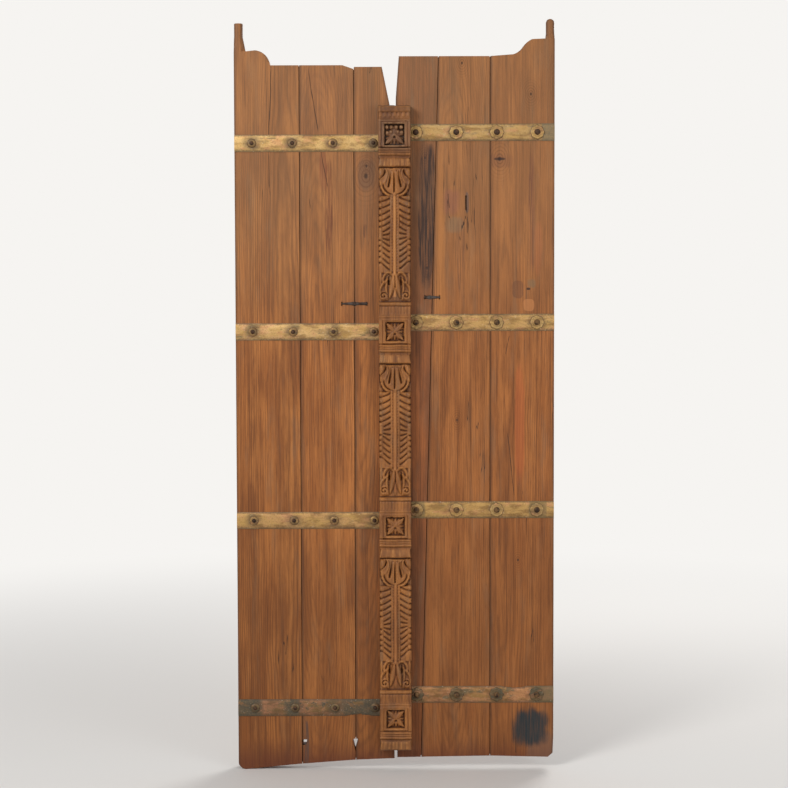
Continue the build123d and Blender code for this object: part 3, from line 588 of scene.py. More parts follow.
def brass(name, metal, tarnish, crust, cover, seed, blotch=None, polish=(186, 148, 88)):
    """Old brass: metal worn bright, brown tarnish in streaks, soiling and painted shade along the edges,
    a crust in patches.
    """
    material, surface, place = shader(name)
    moved = shifted(place, seed * 0.7, 0, seed * 1.3)
    tone = mottle(moved, (0.05, 0.05, 0.02), 4.0, 0.6)
    pink = mottle(moved, (0.03, 0.03, 0.014), 3.0)
    fine = mottle(moved, (0.004, 0.01, 0.003), 3.0, 0.65)
    flow = mottle(moved, (0.05, 0.05, 0.016), 4.0, 0.6)
    grown = mottle(moved, (0.045, 0.05, 0.018), 5.0, 0.68)
    flecks = mottle(moved, (0.005, 0.01, 0.0035))
    # Soiling along the edges and round the studs, with painted shade along a strap's lower edge and in
    # the seats' notches, at their rims and round their nails.
    dirt_and_shade = span(fine * 0.4 - mark(place, "edge") + 0.42, 0.3, 0.62)
    dirt_and_shade = calc("MAXIMUM", dirt_and_shade, mark(place, "stud") * span(grown, 0.3, 0.6))
    crusted = span(fine * 0.2 + grown, 0.98 - cover, 1.12 - cover)
    if blotch:
        x, _, z = axes_of(place)
        crusted = calc("MAXIMUM", crusted, blotch(moved, x, z))
    colour = layered(tint(span(tone, 0.38, 0.66), metal, polish), (
        (span(pink, 0.5, 0.68) * 0.45, (200, 140, 104)),
        (span(flow, 0.46, 0.66) * 0.55, tarnish),
        (span(fine, 0.5, 0.74) * 0.5, tarnish),
        (dirt_and_shade * 0.75, (78, 56, 32)),
        (crusted * 0.88, tint(span(fine, 0.44, 0.62) * 0.3, crust, polish)),
        (span(flecks, 0.66, 0.76) * 0.5, (204, 192, 166)),
    ))
    feed(surface, {
        "Base Color": colour,
        "Metallic": calc("MAXIMUM", crusted, dirt_and_shade) * -0.6 + 0.68,
        "Roughness": calc("MAXIMUM", crusted, fine) * 0.35 + 0.34,
        "Normal": bump(crusted * 0.6 + (tone * 1.4 + fine), 0.5, 0.7 * mm),
    })
    return material


def grey_end(moved, x, z):
    """The dull outer ends of the right leaf's top and lowest straps, the first beaten flat."""
    top = cloud_mask(moved, x, z, (0.445, 1.855), (0.02, 0.04), 0.3)
    low = cloud_mask(moved, x, z, (0.445, 0.215), (0.05, 0.04), 0.9)
    return calc("MAXIMUM", top, low) * 0.8


def square_plates(moved, x, z):
    """The darker squares left round the first and last rosettes of the third right strap."""
    first = cloud_mask(moved, x, z, (0.062, 0.763), (0.024, 0.04), 0.1)
    last = cloud_mask(moved, x, z, (0.415, 0.763), (0.026, 0.04), 0.1)
    return calc("MAXIMUM", first, last) * 0.55


def blackened(moved, x, z):
    """The grey-black end and blots, and the dull right half, of the left leaf's lowest strap."""
    blots = mottle(moved, (0.02, 0.03, 0.016), 4.0, 0.6)
    end = cloud_mask(moved, x, z, (-0.44, 0.182), (0.045, 0.06), 0.8)
    middle = cloud_mask(moved, x, z, (-0.305, 0.182), (0.022, 0.06), 0.8)
    dull = span(x, -0.23, -0.12) * span(blots, 0.34, 0.5)
    black = calc("MAXIMUM", end, middle) * span(blots, 0.32, 0.46)
    return calc("MAXIMUM", calc("MAXIMUM", black, dull), span(blots, 0.58, 0.68))


brown_tarnish, green_crust = (110, 78, 42), (92, 84, 54)
strap_looks = {
    "left_strap_1": ((204, 168, 110), brown_tarnish, green_crust, 0.28, 1),
    "left_strap_2": ((206, 168, 112), brown_tarnish, green_crust, 0.30, 2),
    "left_strap_3": ((190, 148, 96), brown_tarnish, green_crust, 0.28, 3),
    "left_strap_4": ((154, 110, 80), (92, 72, 48), (66, 62, 48), 0.28, 4, blackened, (132, 104, 66)),
    "right_strap_1": ((184, 150, 98), brown_tarnish, (100, 92, 74), 0.30, 5, grey_end),
    "right_strap_2": ((194, 154, 98), brown_tarnish, green_crust, 0.28, 6),
    "right_strap_3": ((188, 148, 90), brown_tarnish, (90, 80, 50), 0.29, 7, square_plates),
    "right_strap_4": ((182, 130, 88), (104, 70, 42), (80, 76, 54), 0.34, 8, grey_end, (154, 118, 70)),
}


def flat_waves(x, z, size, seed):
    """Smooth noise from -1 to 1 over a face, in patches of the given size along X and Z."""
    spots = np.stack((x.ravel(), 0 * x.ravel(), z.ravel()), axis=1)
    return waves(spots, (size[0], 1, size[1]), seed).reshape(x.shape)


def bell(away):
    """1 at 0, and falling away smoothly to either side."""
    return np.exp(-(away**2))


def torn(x, middle, length):
    """How deep a ragged tear cuts into an edge at each X."""
    along = unit(1 - np.abs(x - middle) / (length / 2))
    ragged = waves(np.stack((x, x, x), axis=1), (9 * mm, 9 * mm, 9 * mm), 31)
    return np.where(along > 0, tear_depth * np.sqrt(along) * (0.75 + 0.5 * ragged), 0)


def strap_shape(node, places):
    """The bent sheet of one strap, for slab."""
    middle_x, middle_z, half_x, half_z = centre_line(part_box(node))
    crown_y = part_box(node)[0].y
    seed = strap_looks[node][4]

    def shape(across, up):
        x = middle_x + (2 * across - 1) * half_x
        bottom = edge_wander * (0.4 + 0.6 * flat_waves(x, 0 * x, (40 * mm, 1), seed))
        top = edge_wander * (0.4 + 0.6 * flat_waves(x, 0 * x, (33 * mm, 1), seed + 40))
        if node == "left_strap_4":
            bottom = bottom + torn(x, -0.108, 70 * mm)
        if node == "right_strap_4":
            top = top + torn(x, 0.345, 72 * mm)
        low, high = middle_z - half_z + bottom, middle_z + half_z - top
        z = low + up * (high - low)
        aside = np.abs(2 * up - 1)
        rise = np.interp(aside, (0, 0.45, 0.62, 0.9, 1), (3.2, 3.1, 2.9, 1.7, 0.9)) * mm
        dent = dent_depth * flat_waves(x, z, (28 * mm, 16 * mm), seed + 60)
        near = np.min([np.hypot(x - place, z - middle_z) for place in places], axis=0)
        sunk = dent_depth * bell((near - 16 * mm) / (6 * mm))
        y = face_y - np.clip(rise - np.clip(dent, -0.3 * mm, 1) - sunk, 0.5 * mm, face_y - crown_y)
        # Lower at both edges for dirt, and lower still along the bottom edge for a painted shade line.
        clean_and_unshaded = (1 - aside) * np.where(up < 0.5, 0.75, 1.1)
        return x, y, z, {"edge": clean_and_unshaded, "stud": unit(1 - (near - 14 * mm) / (16 * mm))}

    return shape


nail_rows = 4


def nail_places(studs):
    """The X of each nail in a row of washers or rosettes."""
    middle_x, _, half_x, radius = centre_line(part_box(studs))
    return np.linspace(middle_x - (half_x - radius), middle_x + (half_x - radius), nail_rows)


for node, look in strap_looks.items():
    side, _, number = node.split("_")
    studs = f"{side}_washers_{number}" if side == "left" else f"{side}_rosettes_{number}"
    places = nail_places(studs)
    _, _, strap_half, _ = centre_line(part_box(node))
    columns = round(2 * strap_half / strap_cell)
    piece = slab(node + "_hammered", columns, strap_rows, strap_shape(node, places), strap_foot)
    piece.data.materials.append(brass(node + "_brass", *look))
    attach(piece, side + "_leaf")
    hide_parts(node)

# Studs. The left leaf's nails sit in domed washers, the right leaf's in petalled rosettes with a
# collar. They are driven right through and turned over on the ledges. Profiles are in millimetres:
# the distance from the axis, and the height over the seat.
petals = 8
petal_shrink = 0.24
petal_groove = 1.3 * mm
petals_from, petals_to = 13 * mm, 21.4 * mm
seat_steps, head_steps = 40, 20
clench_length, clench_width, clench_thickness = 15 * mm, 6 * mm, 2.4 * mm
clench_inset = 1.7 * mm
seat_wear, seat_pits = 0.35 * mm, 6 * mm
nail_wear, nail_pits = 0.5 * mm, 5 * mm
wear_seed = 1
noise.seed_set(wear_seed)


def turned(shape, x, z, seat_y, out, profile, steps):
    """Spins a profile about the line through x and z; out is 1 for a stud that faces backwards."""
    ring = [shape.verts.new((x + radius * mm, seat_y + out * rise * mm, z)) for radius, rise in profile]
    line = [shape.edges.new(pair) for pair in zip(ring, ring[1:])]
    bmesh.ops.spin(shape, geom=ring + line, cent=(x, 0, z), axis=(0, 1, 0), dvec=(0, 0, 0),
                   angle=2 * math.pi, steps=steps, use_merge=True)
    bmesh.ops.remove_doubles(shape, verts=shape.verts, dist=0.02 * mm)


def worn(shape, depth, size, seed):
    """Pushes a built shape's skin in and out at random, as corrosion and hammering leave it."""
    start = Vector((seed, 2 * seed, 3 * seed))
    for vert in shape.verts:
        vert.co += depth * noise.noise_vector(vert.co / size + start)


def petalled(shape, x, z):
    """Scallops the outer part of a turned rosette into petals, with a groove between each two."""
    for vert in shape.verts:
        across, along = vert.co.x - x, vert.co.z - z
        radius = math.hypot(across, along)
        if petals_from < radius < 1.2 * petals_to:
            wave = abs(math.cos(petals / 2 * math.atan2(across, along)))
            part = (radius - petals_from) / (petals_to - petals_from)
            shrink = 1 - petal_shrink * part * (1 - wave**0.5)
            vert.co.x, vert.co.z = x + across * shrink, z + along * shrink
            vert.co.y += petal_groove * (1 - wave) ** 2 * min(1, 3 * part)


def seat_marks(mesh, places, z, radius, petalled_seat, ages):
    """Marks for the brass: unsoiled on the petals; soiling and painted shade in notches, at the rim and
    round the nail.
    """
    points = corners(mesh)
    clean_and_unshaded, age = np.ones(len(points)), np.zeros(len(points))
    for place, old in zip(places, ages):
        across, along = points[:, 0] - place, points[:, 2] - z
        away = np.hypot(across, along) / radius
        here = away < 1.3
        wave = np.abs(np.cos(petals / 2 * np.arctan2(across, along))) if petalled_seat else 1
        # Dirt and painted shade at the rim, round the nail and in the notches between petals.
        rim = unit((0.97 - away) / 0.2) * unit((away - 0.45) / 0.14)
        notch = unit(wave / 0.6 + unit((0.64 - away) / 0.1))
        clean_and_unshaded[here] = (rim * notch)[here]
        age[here] = old
    store(mesh, "edge", clean_and_unshaded)
    store(mesh, "stud", age)


def clenched(shape, x, y, z):
    """The turned-over point of a nail, hammered flat on the back of a ledge and tapered."""
    made = bmesh.ops.create_cube(shape, size=1)["verts"]
    for vert in made:
        taper = 0.45 if vert.co.x > 0 else 1.0
        across = (vert.co.x + 0.3) * clench_length
        deep, up = vert.co.y * clench_thickness * taper, vert.co.z * clench_width * taper
        vert.co = (x + across, y + deep, z + up)
    rim = list(dict.fromkeys(edge for vert in made for edge in vert.link_edges))
    bmesh.ops.bevel(shape, geom=rim, offset=0.6 * mm, segments=2, profile=0.5,
                    affect="EDGES", material=-1)


def iron(name, light, rust, seed):
    """Forged iron, nearly black, with rust in its pits."""
    material, surface, place = shader(name)
    moved = shifted(place, seed, 0, seed)
    pits = mottle(moved, (0.004, 0.004, 0.004), 4.0, 0.6)
    broad = mottle(moved, (0.014, 0.014, 0.014), 3.0)
    colour = tint(span(broad, 0.4, 0.62), light, (46, 33, 24))
    feed(surface, {
        "Base Color": tint(span(pits, 0.5, 0.68) * 0.7, colour, rust),
        "Metallic": 0.1,
        "Specular IOR Level": 0.25,
        "Roughness": pits * 0.4 + 0.42,
        "Normal": bump(pits, 0.6, 0.5 * mm),
    })
    return material


stud_ages = {
    ("left", 1): (0.9, 1.0, 0.8, 1.0), ("left", 2): (0.6, 0.7, 0.5, 0.9),
    ("left", 3): (0.9, 0.8, 0.4, 0.8), ("left", 4): (1.0, 1.0, 0.6, 0.9),
    ("right", 1): (0.35, 0.15, 0.3, 0.2), ("right", 2): (0.5, 0.35, 0.4, 0.25),
    ("right", 3): (0.75, 0.3, 0.4, 0.6), ("right", 4): (0.7, 0.5, 0.6, 0.8),
}
washer_brass = brass("washer_brass", (154, 120, 76), (96, 72, 44), (78, 64, 44), 0.36, 11)
rosette_brass = brass("rosette_brass", (190, 156, 100), (112, 84, 48), (94, 82, 52), 0.32, 12)
drab_brass = brass("drab_brass", (118, 98, 66), (84, 68, 44), (76, 70, 50), 0.4, 13, None, (104, 86, 56))
dark_iron = iron("dark_iron", (76, 56, 40), (110, 66, 38), 3.0)
bronze_iron = iron("bronze_iron", (112, 84, 52), (92, 62, 36), 5.0)
washer_profile = ((0, 3.4), (5, 3.4), (8, 3.8), (10.5, 3.0), (12.6, 1.5), (13.4, 0.3), (13.4, -1.5))
rosette_profile = (
    (0, 4.2), (8, 4.2), (10.2, 4.5), (11.6, 4.1), (12.2, 2.6), (13.6, 2.2), (16, 2.9), (18.6, 2.6),
    (20.6, 1.5), (21.4, 0.4), (21.4, -1.5),
)
left_head_profile = ((0, 4.2), (2.5, 3.9), (4.6, 2.8), (5.8, 1.0), (5.9, -1.2))
right_head_profile = ((0, 6.0), (3.5, 5.5), (6.6, 3.9), (8.6, 1.4), (8.8, -1.0))
stud_kinds = {
    "left": ("washers", washer_profile, left_head_profile, washer_brass, dark_iron),
    "right": ("rosettes", rosette_profile, right_head_profile, rosette_brass, bronze_iron),
}

for side, (kind, seat_profile, head_profile, seat_material, head_material) in stud_kinds.items():
    for number in range(1, nail_rows + 1):
        seat_node, nail_node = f"{side}_{kind}_{number}", f"{side}_nails_{number}"
        _, z, _, radius = centre_line(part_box(seat_node))
        places = nail_places(seat_node)
        seat_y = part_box(f"{side}_strap_{number}")[0].y
        head_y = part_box(seat_node)[0].y
        seats, nails = bmesh.new(), bmesh.new()
        for place in places:
            turned(seats, place, z, seat_y, -1, seat_profile, seat_steps)
            turned(nails, place, z, head_y, -1, head_profile, head_steps)
            clenched(nails, place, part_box(nail_node)[1].y - clench_inset, z)
            if side == "right":
                petalled(seats, place, z)
        worn(seats, seat_wear, seat_pits, number)
        worn(nails, nail_wear, nail_pits, number + 7)
        for shape, node in (seats, seat_node), (nails, nail_node):
            bmesh.ops.recalc_face_normals(shape, faces=shape.faces)
            piece = new_object(node + "_forged", shape)
            smooth(piece)
            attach(piece, side + "_leaf")
            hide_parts(node)
            if node == seat_node:
                seat_marks(piece.data, places, z, radius, side == "right", stud_ages[side, number])
                piece.data.materials.append(drab_brass if number == nail_rows else seat_material)
            else:
                first = side == "right" and number == 1
                piece.data.materials.append(dark_iron if first else head_material)

# Iron cramps. Short hammered bars across two joints of the leaves, thin at one end, whose legs
# are driven into the wood.
cramp_columns, cramp_rows = 40, 10
for node, (thin_end, boss_at) in {"left_iron_cramp": (0, 0.5), "right_iron_cramp": (1, 0.35)}.items():
    middle_x, middle_z, half_x, half_z = centre_line(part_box(node))
    bar_height = face_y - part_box(node)[0].y

    def bar(across, up):
        x = middle_x + (2 * across - 1) * half_x
        taper = np.interp(np.abs(across - thin_end), (0, 0.25, 1), (0.35, 0.8, 0.9))
        boss = bell((across - boss_at) / 0.09)
        z = middle_z + (2 * up - 1) * half_z * unit(taper * 0.8 + 0.3 * boss)
        rise = 3.2 * mm * (1 - 0.75 * np.abs(2 * up - 1) ** 3) * (0.8 + 0.2 * boss)
        rise = rise + 0.6 * mm * flat_waves(x, z, (7 * mm, 5 * mm), 5)
        return x, face_y - np.clip(rise, 0, bar_height), z, {}

    piece = slab(node + "_hammered", cramp_columns, cramp_rows, bar, strap_foot)
    piece.data.materials.append(iron(node + "_iron", (78, 72, 68), (96, 66, 50), 7.0))
    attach(piece, node.split("_")[0] + "_leaf")
    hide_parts(node)

# Ledges. Split hardwood battens across the back of each leaf, adzed rather than planed, on which
# the nails are turned over.
ledge_cells = 7
adze_depth = 1.6 * mm
ledge_wood = teak("ledge_wood_worn", {
    "lying": True, "pith": (1.0, 0.0), "depth": 0.06, "bow": 0.01, "seed": 9, "grey": 0.75, "ring": 0.012,
    "tones": ((150, 106, 74), (112, 78, 56), (138, 90, 60), (82, 54, 38)),
})
for side in "left", "right":
    for number in range(1, nail_rows + 1):
        node = f"{side}_ledge_{number}"
        ledge = worn_shell(node, ledge_cells)
        points = corners(ledge.data)
        adzed = waves(points, (45 * mm, 60 * mm, 30 * mm), number + 80)
        behind = points[:, 1] > back_y + 8 * mm
        points[behind, 1] -= adze_depth * (0.5 + 0.5 * adzed[behind])
        set_corners(ledge.data, np.clip(points, *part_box(node)))
        store(ledge.data, "edge", np.ones(len(points)))
        ledge.data.materials.append(ledge_wood)
        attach(ledge, side + "_leaf")
        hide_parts(node)

# Carved centre post. Square flower blocks, mouldings and three long panels with leaf capitals,
# feathered shafts and scrolled bases, worn pale and given a painted highlight where it is high, and
# dark with dirt and painted shade in the hollows. The carving is measured in millimetres: across,
# up from a block's middle, and out of the planks.
post_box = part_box("carved_center_post")
post_cell = 1.4 * mm
carved_from = 8 * mm
blocks = 4
bay = 563
head_rise = 84
foot_drop = 92
half_block = 33
ground = 25
face = 42
half_post = 46.5
shaft_half = 14
capital = -95
bowl_low = -176
base_top = -392
shelf = -477
under_block = (
    (-66, 33), (-60, 33), (-57.5, 39), (-54, 40.5), (-52, 36), (-50, 36), (-48, 40.5), (-46, 36),
    (-44, 36.5), (-42, 40.8), (-39.5, 40), (-38, 36), (-36, 36.5), (-34, 41.5), (-32, face),
)
fascia_line = ((capital, ground), (-91.5, 33), (-90, 40), (-80, 38.6), (-67.5, 36), (-66.5, 33))
base_line = (
    (-530, 41.5), (-528, 39.6), (-526, 40.6), (-523.5, 37), (-521, 40.4), (-518.5, 39.4), (-516.5, 36),
    (-515, 38), (-491.5, 38), (-490, 33.5), (-487.5, 40), (-483, 40.8), (-479, 37.5), (shelf, ground),
)
head_line = (
    (face - 8, face), (36, 40), (40, 40.5), (43.5, 38), (46.5, 35.5), (50, 35.5), (51.5, 38), (64, 38),
    (66.5, 41.5), (76, 41), (81, 38), (head_rise, 33),
)
rim_strokes = (
    (((41, -135), (36, -156), (24, -169), (9, -175)), 8.5, -4, 0.5, 0.9),
    (((33, -140), (30, -154), (20, -165), (7, -170)), 5, 6.5, 0.5, 0.8),
)
fold_strokes = (
    (((29, -97), (27, -106), (34, -118), (45, -128)), 4.6, 8, 0.6, 0.7),
    (((25, -99), (20, -113), (25, -128), (34, -141)), 5.5, -3, 0.4, 0.8),
    (((22.5, -97), (16.5, -113), (21, -129), (24, -146)), 4, 4, 0.4, 0.8),
    (((19, -97), (13.5, -113), (17.5, -130), (21, -148)), 5, -3.2, 0.5, 0.8),
    (((12, -104), (13.5, -122), (18, -147)), 8, 10, 0.8, 0.5),
    (((5, -99), (5.5, -125), (5, -160)), 4.6, -2.6, 0.5, 0.9),
)
scroll_strokes = (
    (((8, -400), (19, -394), (30, -402), (34, -421)), 9.5, -8, 0.5, 0.9),
    (((22, -413), (32, -424), (41, -436), (42, -456)), 9, -7.5, 0.5, 0.9),
    (((21, -412), (25, -432), (24, -450), (22, -470)), 8, -7, 0.5, 0.9),
)
feather_count = 13
rubbed_off = 0.9
chipped_off = 0.22
arris_wear, arris_reach = 3.2, 3.5
end_wear, end_reach = 3.0, 4
head_reach = 16
head_wear = 0.3 * mm


def smooth_curve(points, steps=22):
    """Points along a smooth curve through a few given ones."""
    along = np.linspace(0, 1, len(points))
    fine = np.linspace(0, 1, steps)
    order = min(3, len(points) - 1)
    return [np.polyval(np.polyfit(along, axis, order), fine) for axis in zip(*points)]


def gouge(h, u, v, points, width, depth, widest=0.5, spread=0.45):
    """Cuts a round stroke along a curve, widest at a given part of it; a negative depth raises one."""
    across, up = smooth_curve(points)
    rows = (v[:, 0] > min(up) - width) & (v[:, 0] < max(up) + width)
    near, part = np.full(u[rows].shape, np.inf), np.zeros(u[rows].shape)
    for n, (a, b) in enumerate(zip(across, up)):
        away = np.hypot(u[rows] - a, v[rows] - b)
        part = np.where(away < near, n / (len(across) - 1), part)
        near = np.minimum(near, away)
    half = width / 2 * (0.3 + 0.7 * bell((part - widest) / spread))
    h[rows] -= depth * unit(1 - (near / half) ** 2) ** 0.8 * (half / (width / 2)) ** 0.5


def gouges(h, u, v, side, strokes):
    """Cuts one side's strokes, each a curve, width, depth, widest part and spread, as gouge takes."""
    for points, *cut in strokes:
        gouge(h, u, v, [(side * across, up) for across, up in points], *cut)


def pit(h, u, v, middle, reach, depth):
    """Sinks a small round hole."""
    h -= depth * bell(np.hypot(u - middle[0], v - middle[1]) / reach)


def leaf(h, u, v, root, turn, length, width, base, height, vein, belly, curl=0.0):
    """Raises a pillowed leaf from its root, with a vein. The turn is from straight up, to the right."""
    turn = math.radians(turn)
    du, dv = u - root[0], v - root[1]
    along = (du * math.sin(turn) + dv * math.cos(turn)) / length
    aside = du * math.cos(turn) - dv * math.sin(turn) - curl * along**2
    inside = unit(along)
    reach = np.maximum(width / 2 * np.sin(math.pi * inside**belly) ** 0.7, 1e-3)
    pillow = unit(1 - (aside / reach) ** 2) * ((along > 0) & (along < 1))
    form = base + height * pillow**0.5 - vein * bell(aside / 1.1) * np.sin(math.pi * inside)
    np.copyto(h, np.maximum(h, form), where=pillow > 0)


def blob(h, u, v, middle, reach, base, height):
    """Raises a rounded lump."""
    away = ((u - middle[0]) / reach[0]) ** 2 + ((v - middle[1]) / reach[1]) ** 2
    np.copyto(h, np.maximum(h, base + height * unit(1 - away) ** 0.5), where=away < 1)


def flower_block(h, u, v, recess, number):
    """The square flower: a deep recess inside two frame lines, petals on the slant and a boss."""
    out = np.maximum(np.abs(u), np.abs(v))
    h -= 5 * bell((out - recess - 8) / 1.9) * (np.abs(v) < half_block + 4)
    h -= 4 * bell((out - recess - 3) / 1.7) * (np.abs(v) < half_block)
    floor_level = face - 15
    h[out < recess] = floor_level
    for n in range(4):
        if number > 0 or n in (1, 2):
            leaf(h, u, v, (0, 0), 45 + 90 * n, recess * 1.34, 15, floor_level, 9.5, 3.4, 0.75)
        leaf(h, u, v, (0, 0), 90 * n, recess * 0.94, 7.5, floor_level, 7, 2.0, 0.8)
        for side in -1, 1:
            leaf(h, u, v, (0, 0), 90 * n + side * 24, recess * 1.02, 6, floor_level, 5, 0, 0.8)
    if number == 0:
        for spot in (-22, 21), (-8.5, 21), (5.5, 21), (20, 21), (-21, 5), (-10, 8), (10, 8), (21, 6):
            blob(h, u, v, spot, (6.4, 6.4), floor_level, 12.5 if spot[1] > 20 else 10)
    blob(h, u, v, (0, 0), (6.5, 6.5), floor_level, 10.5)
    gouge(h, u, v, ((-3, -9), (0, -6), (3, -9)), 7, 6)
    pit(h, u, v, (0, 0), 2.2, 3.2)


def capital_leaves(h, u, v):
    """The calyx at the top of a panel: a fluted cup between turned-over leaves, closing on the shaft."""
    depth = capital - v
    inside = (depth > 0) & (v > bowl_low)
    closing = np.sqrt(unit(1 - ((depth - 36) / 45) ** 2))
    bowl_half = np.where(depth < 36, 44, shaft_half + 30 * closing)
    cup = ground + 8 + 4 * np.sqrt(unit(1 - (u / (bowl_half + 1)) ** 2))
    np.copyto(h, np.maximum(h, cup), where=inside & (np.abs(u) < bowl_half))
    for s in -1, 1:
        gouges(h, u, v, s, rim_strokes)
        for hole in (s * 41, -146), (s * 38.5, -158), (s * 31, -168.5), (s * 21, -176):
            pit(h, u, v, hole, 2.45, 4.5)
        blob(h, u, v, (s * 38, -112), (8.5, 17), ground + 8, 9.5)
        gouges(h, u, v, s, fold_strokes)
        pit(h, u, v, (s * 6, -102), 2.12, 6)
    gouge(h, u, v, ((-1, -100), (-1.5, -128), (-1.5, -163)), 5.6, 8.5, 0.8, 0.55)


def feathers(h, u, v, lean):
    """The leaves down both sides of the shaft, parted by gouge cuts, with scalloped tips."""
    low, high = base_top - 2, bowl_low + 2
    pitch = (high - low) / feather_count
    field = (v < high) & (v > low) & (np.abs(u) > shaft_half - 1)
    outer = unit((np.abs(u) - 33) / 11)
    np.copyto(h, ground + 9 - 3 * outer**2, where=field)
    for n in range(feather_count):
        droop = np.interp(n, (0, 2, 5, 6.5, 8, 12), (9, 13, 13, 0, -14, -18))
        for s in -1, 1:
            root = high - pitch * (n + 0.35) + s * lean
            tip = root - 1.1 * droop
            bend = (s * 24, root - 0.4 * droop - 1), (s * 36, root - 0.95 * droop)
            gouge(h, u, v, ((s * 14, root), *bend, (s * 45, tip)), 6.6, 6.5, 0.15, 0.7)
            blob(h, u, v, (s * 40.5, tip + pitch / 2), (6.5, pitch * 0.46), ground + 5, 6.5)
            h -= (5.5 - s) * bell(np.hypot((u - s * 45) / 4, (v - tip) / 3))


def ridged_shaft(h, u, v):
    """The stem: a broad rounded ridge between two beaded ones."""
    away = np.abs(u)
    steps = (0, 2.5, 5, 6.6, 9.2, 11.6, 13.4, 14)
    ridge = np.interp(away, steps, (38.5, 37.5, 33.5, 32, 34.8, 34.4, 31, 29))
    notch = bell((away - 7.4) / 1.7) * unit(np.sin(v * 2 * math.pi / 8.6)) ** 2
    here = (v < bowl_low + 6) & (v > base_top - 4) & (away < shaft_half)
    np.copyto(h, ridge - 2.2 * notch, where=here)


def base_leaves(h, u, v):
    """The foot of a panel: a bud, two long drooping leaves, and scrolls that curl out beside them."""
    field = (v < base_top) & (v > shelf) & (np.abs(u) < half_post - 1)
    np.copyto(h, np.maximum(h, ground + 4.5), where=field)
    turns = np.linspace(0, 2.4 * math.pi, 14)
    coil = 1.5 + 1.25 * turns
    for s in -1, 1:
        leaf(h, u, v, (s * 2.5, -398), 180 - s * 8, 72, 17, ground + 3, 10, 0, 0.8, -s * 4)
        gouges(h, u, v, s, scroll_strokes)
        leaf(h, u, v, (s * 41, -394), 180, 34, 9, ground + 3, 6.5, 1.5, 0.7)
        gouge(h, u, v, ((s * 16, -405), (s * 19, -415), (s * 17.5, -428)), 6, 7, 0.6, 0.6)
        spiral = [*zip(s * (32 - coil * np.sin(turns + 0.6)), -459 + coil * np.cos(turns + 0.6))]
        blob(h, u, v, (s * 32, -459), (13, 15), ground + 3, 8)
        for start in range(0, 12, 3):
            gouge(h, u, v, spiral[start:start + 4], 4, 6, 0.5, 1.2)
    gouge(h, u, v, ((0, -402), (0.5, -430), (0, -474)), 4, 5, 0.3, 0.6)
    leaf(h, u, v, (0, -474), 0, 40, 8, ground + 2, 6, 1.6, 0.7)
    blob(h, u, v, (0, -397), (6.5, 6.5), ground + 4, 11)


def reeded(h, u, v, low, high, count, depth):
    """Parts a band into upright reeds with round backs."""
    step = (u + half_post) / (2 * half_post) * count
    groove = np.abs(np.sin(math.pi * step)) ** 0.55
    here = (v > low) & (v < high)
    h[here] -= depth * (1 - groove[here])


def bay_heights(u, v, number):
    """The carved face of one block and of what lies below it."""
    if number == blocks - 1:
        below, line = foot_drop, ((-foot_drop, 37), (-70, 37.5), (-67, 36.5), *under_block)
    else:
        below, line = bay - half_block, (*base_line, *fascia_line, *under_block)
    if number == 0:
        line = (*line, *head_line)
    v = np.clip(v, -below, head_rise)
    h = np.interp(v, *zip(*line))
    if number < blocks - 1:
        capital_leaves(h, u, v)
        feathers(h, u, v, (1.5, -1.0, 2.0)[number])
        ridged_shaft(h, u, v)
        base_leaves(h, u, v)
        reeded(h, u, v, -514, -491, 10, 3.2)
    if number == 0:
        reeded(h, u, v, 51, 64, 7, 4.5)
    flower_block(h, u, v, (29.5, 27, 27, 26.5)[number], number)
    return h


def soften(h, times):
    """Evens out a height field with its neighbours, a number of times."""
    for _ in range(times):
        padded = np.pad(h, 1, mode="edge")
        h = (padded[:-2, 1:-1] + padded[2:, 1:-1] + padded[1:-1, :-2] + padded[1:-1, 2:] + 2 * h) / 6
    return h


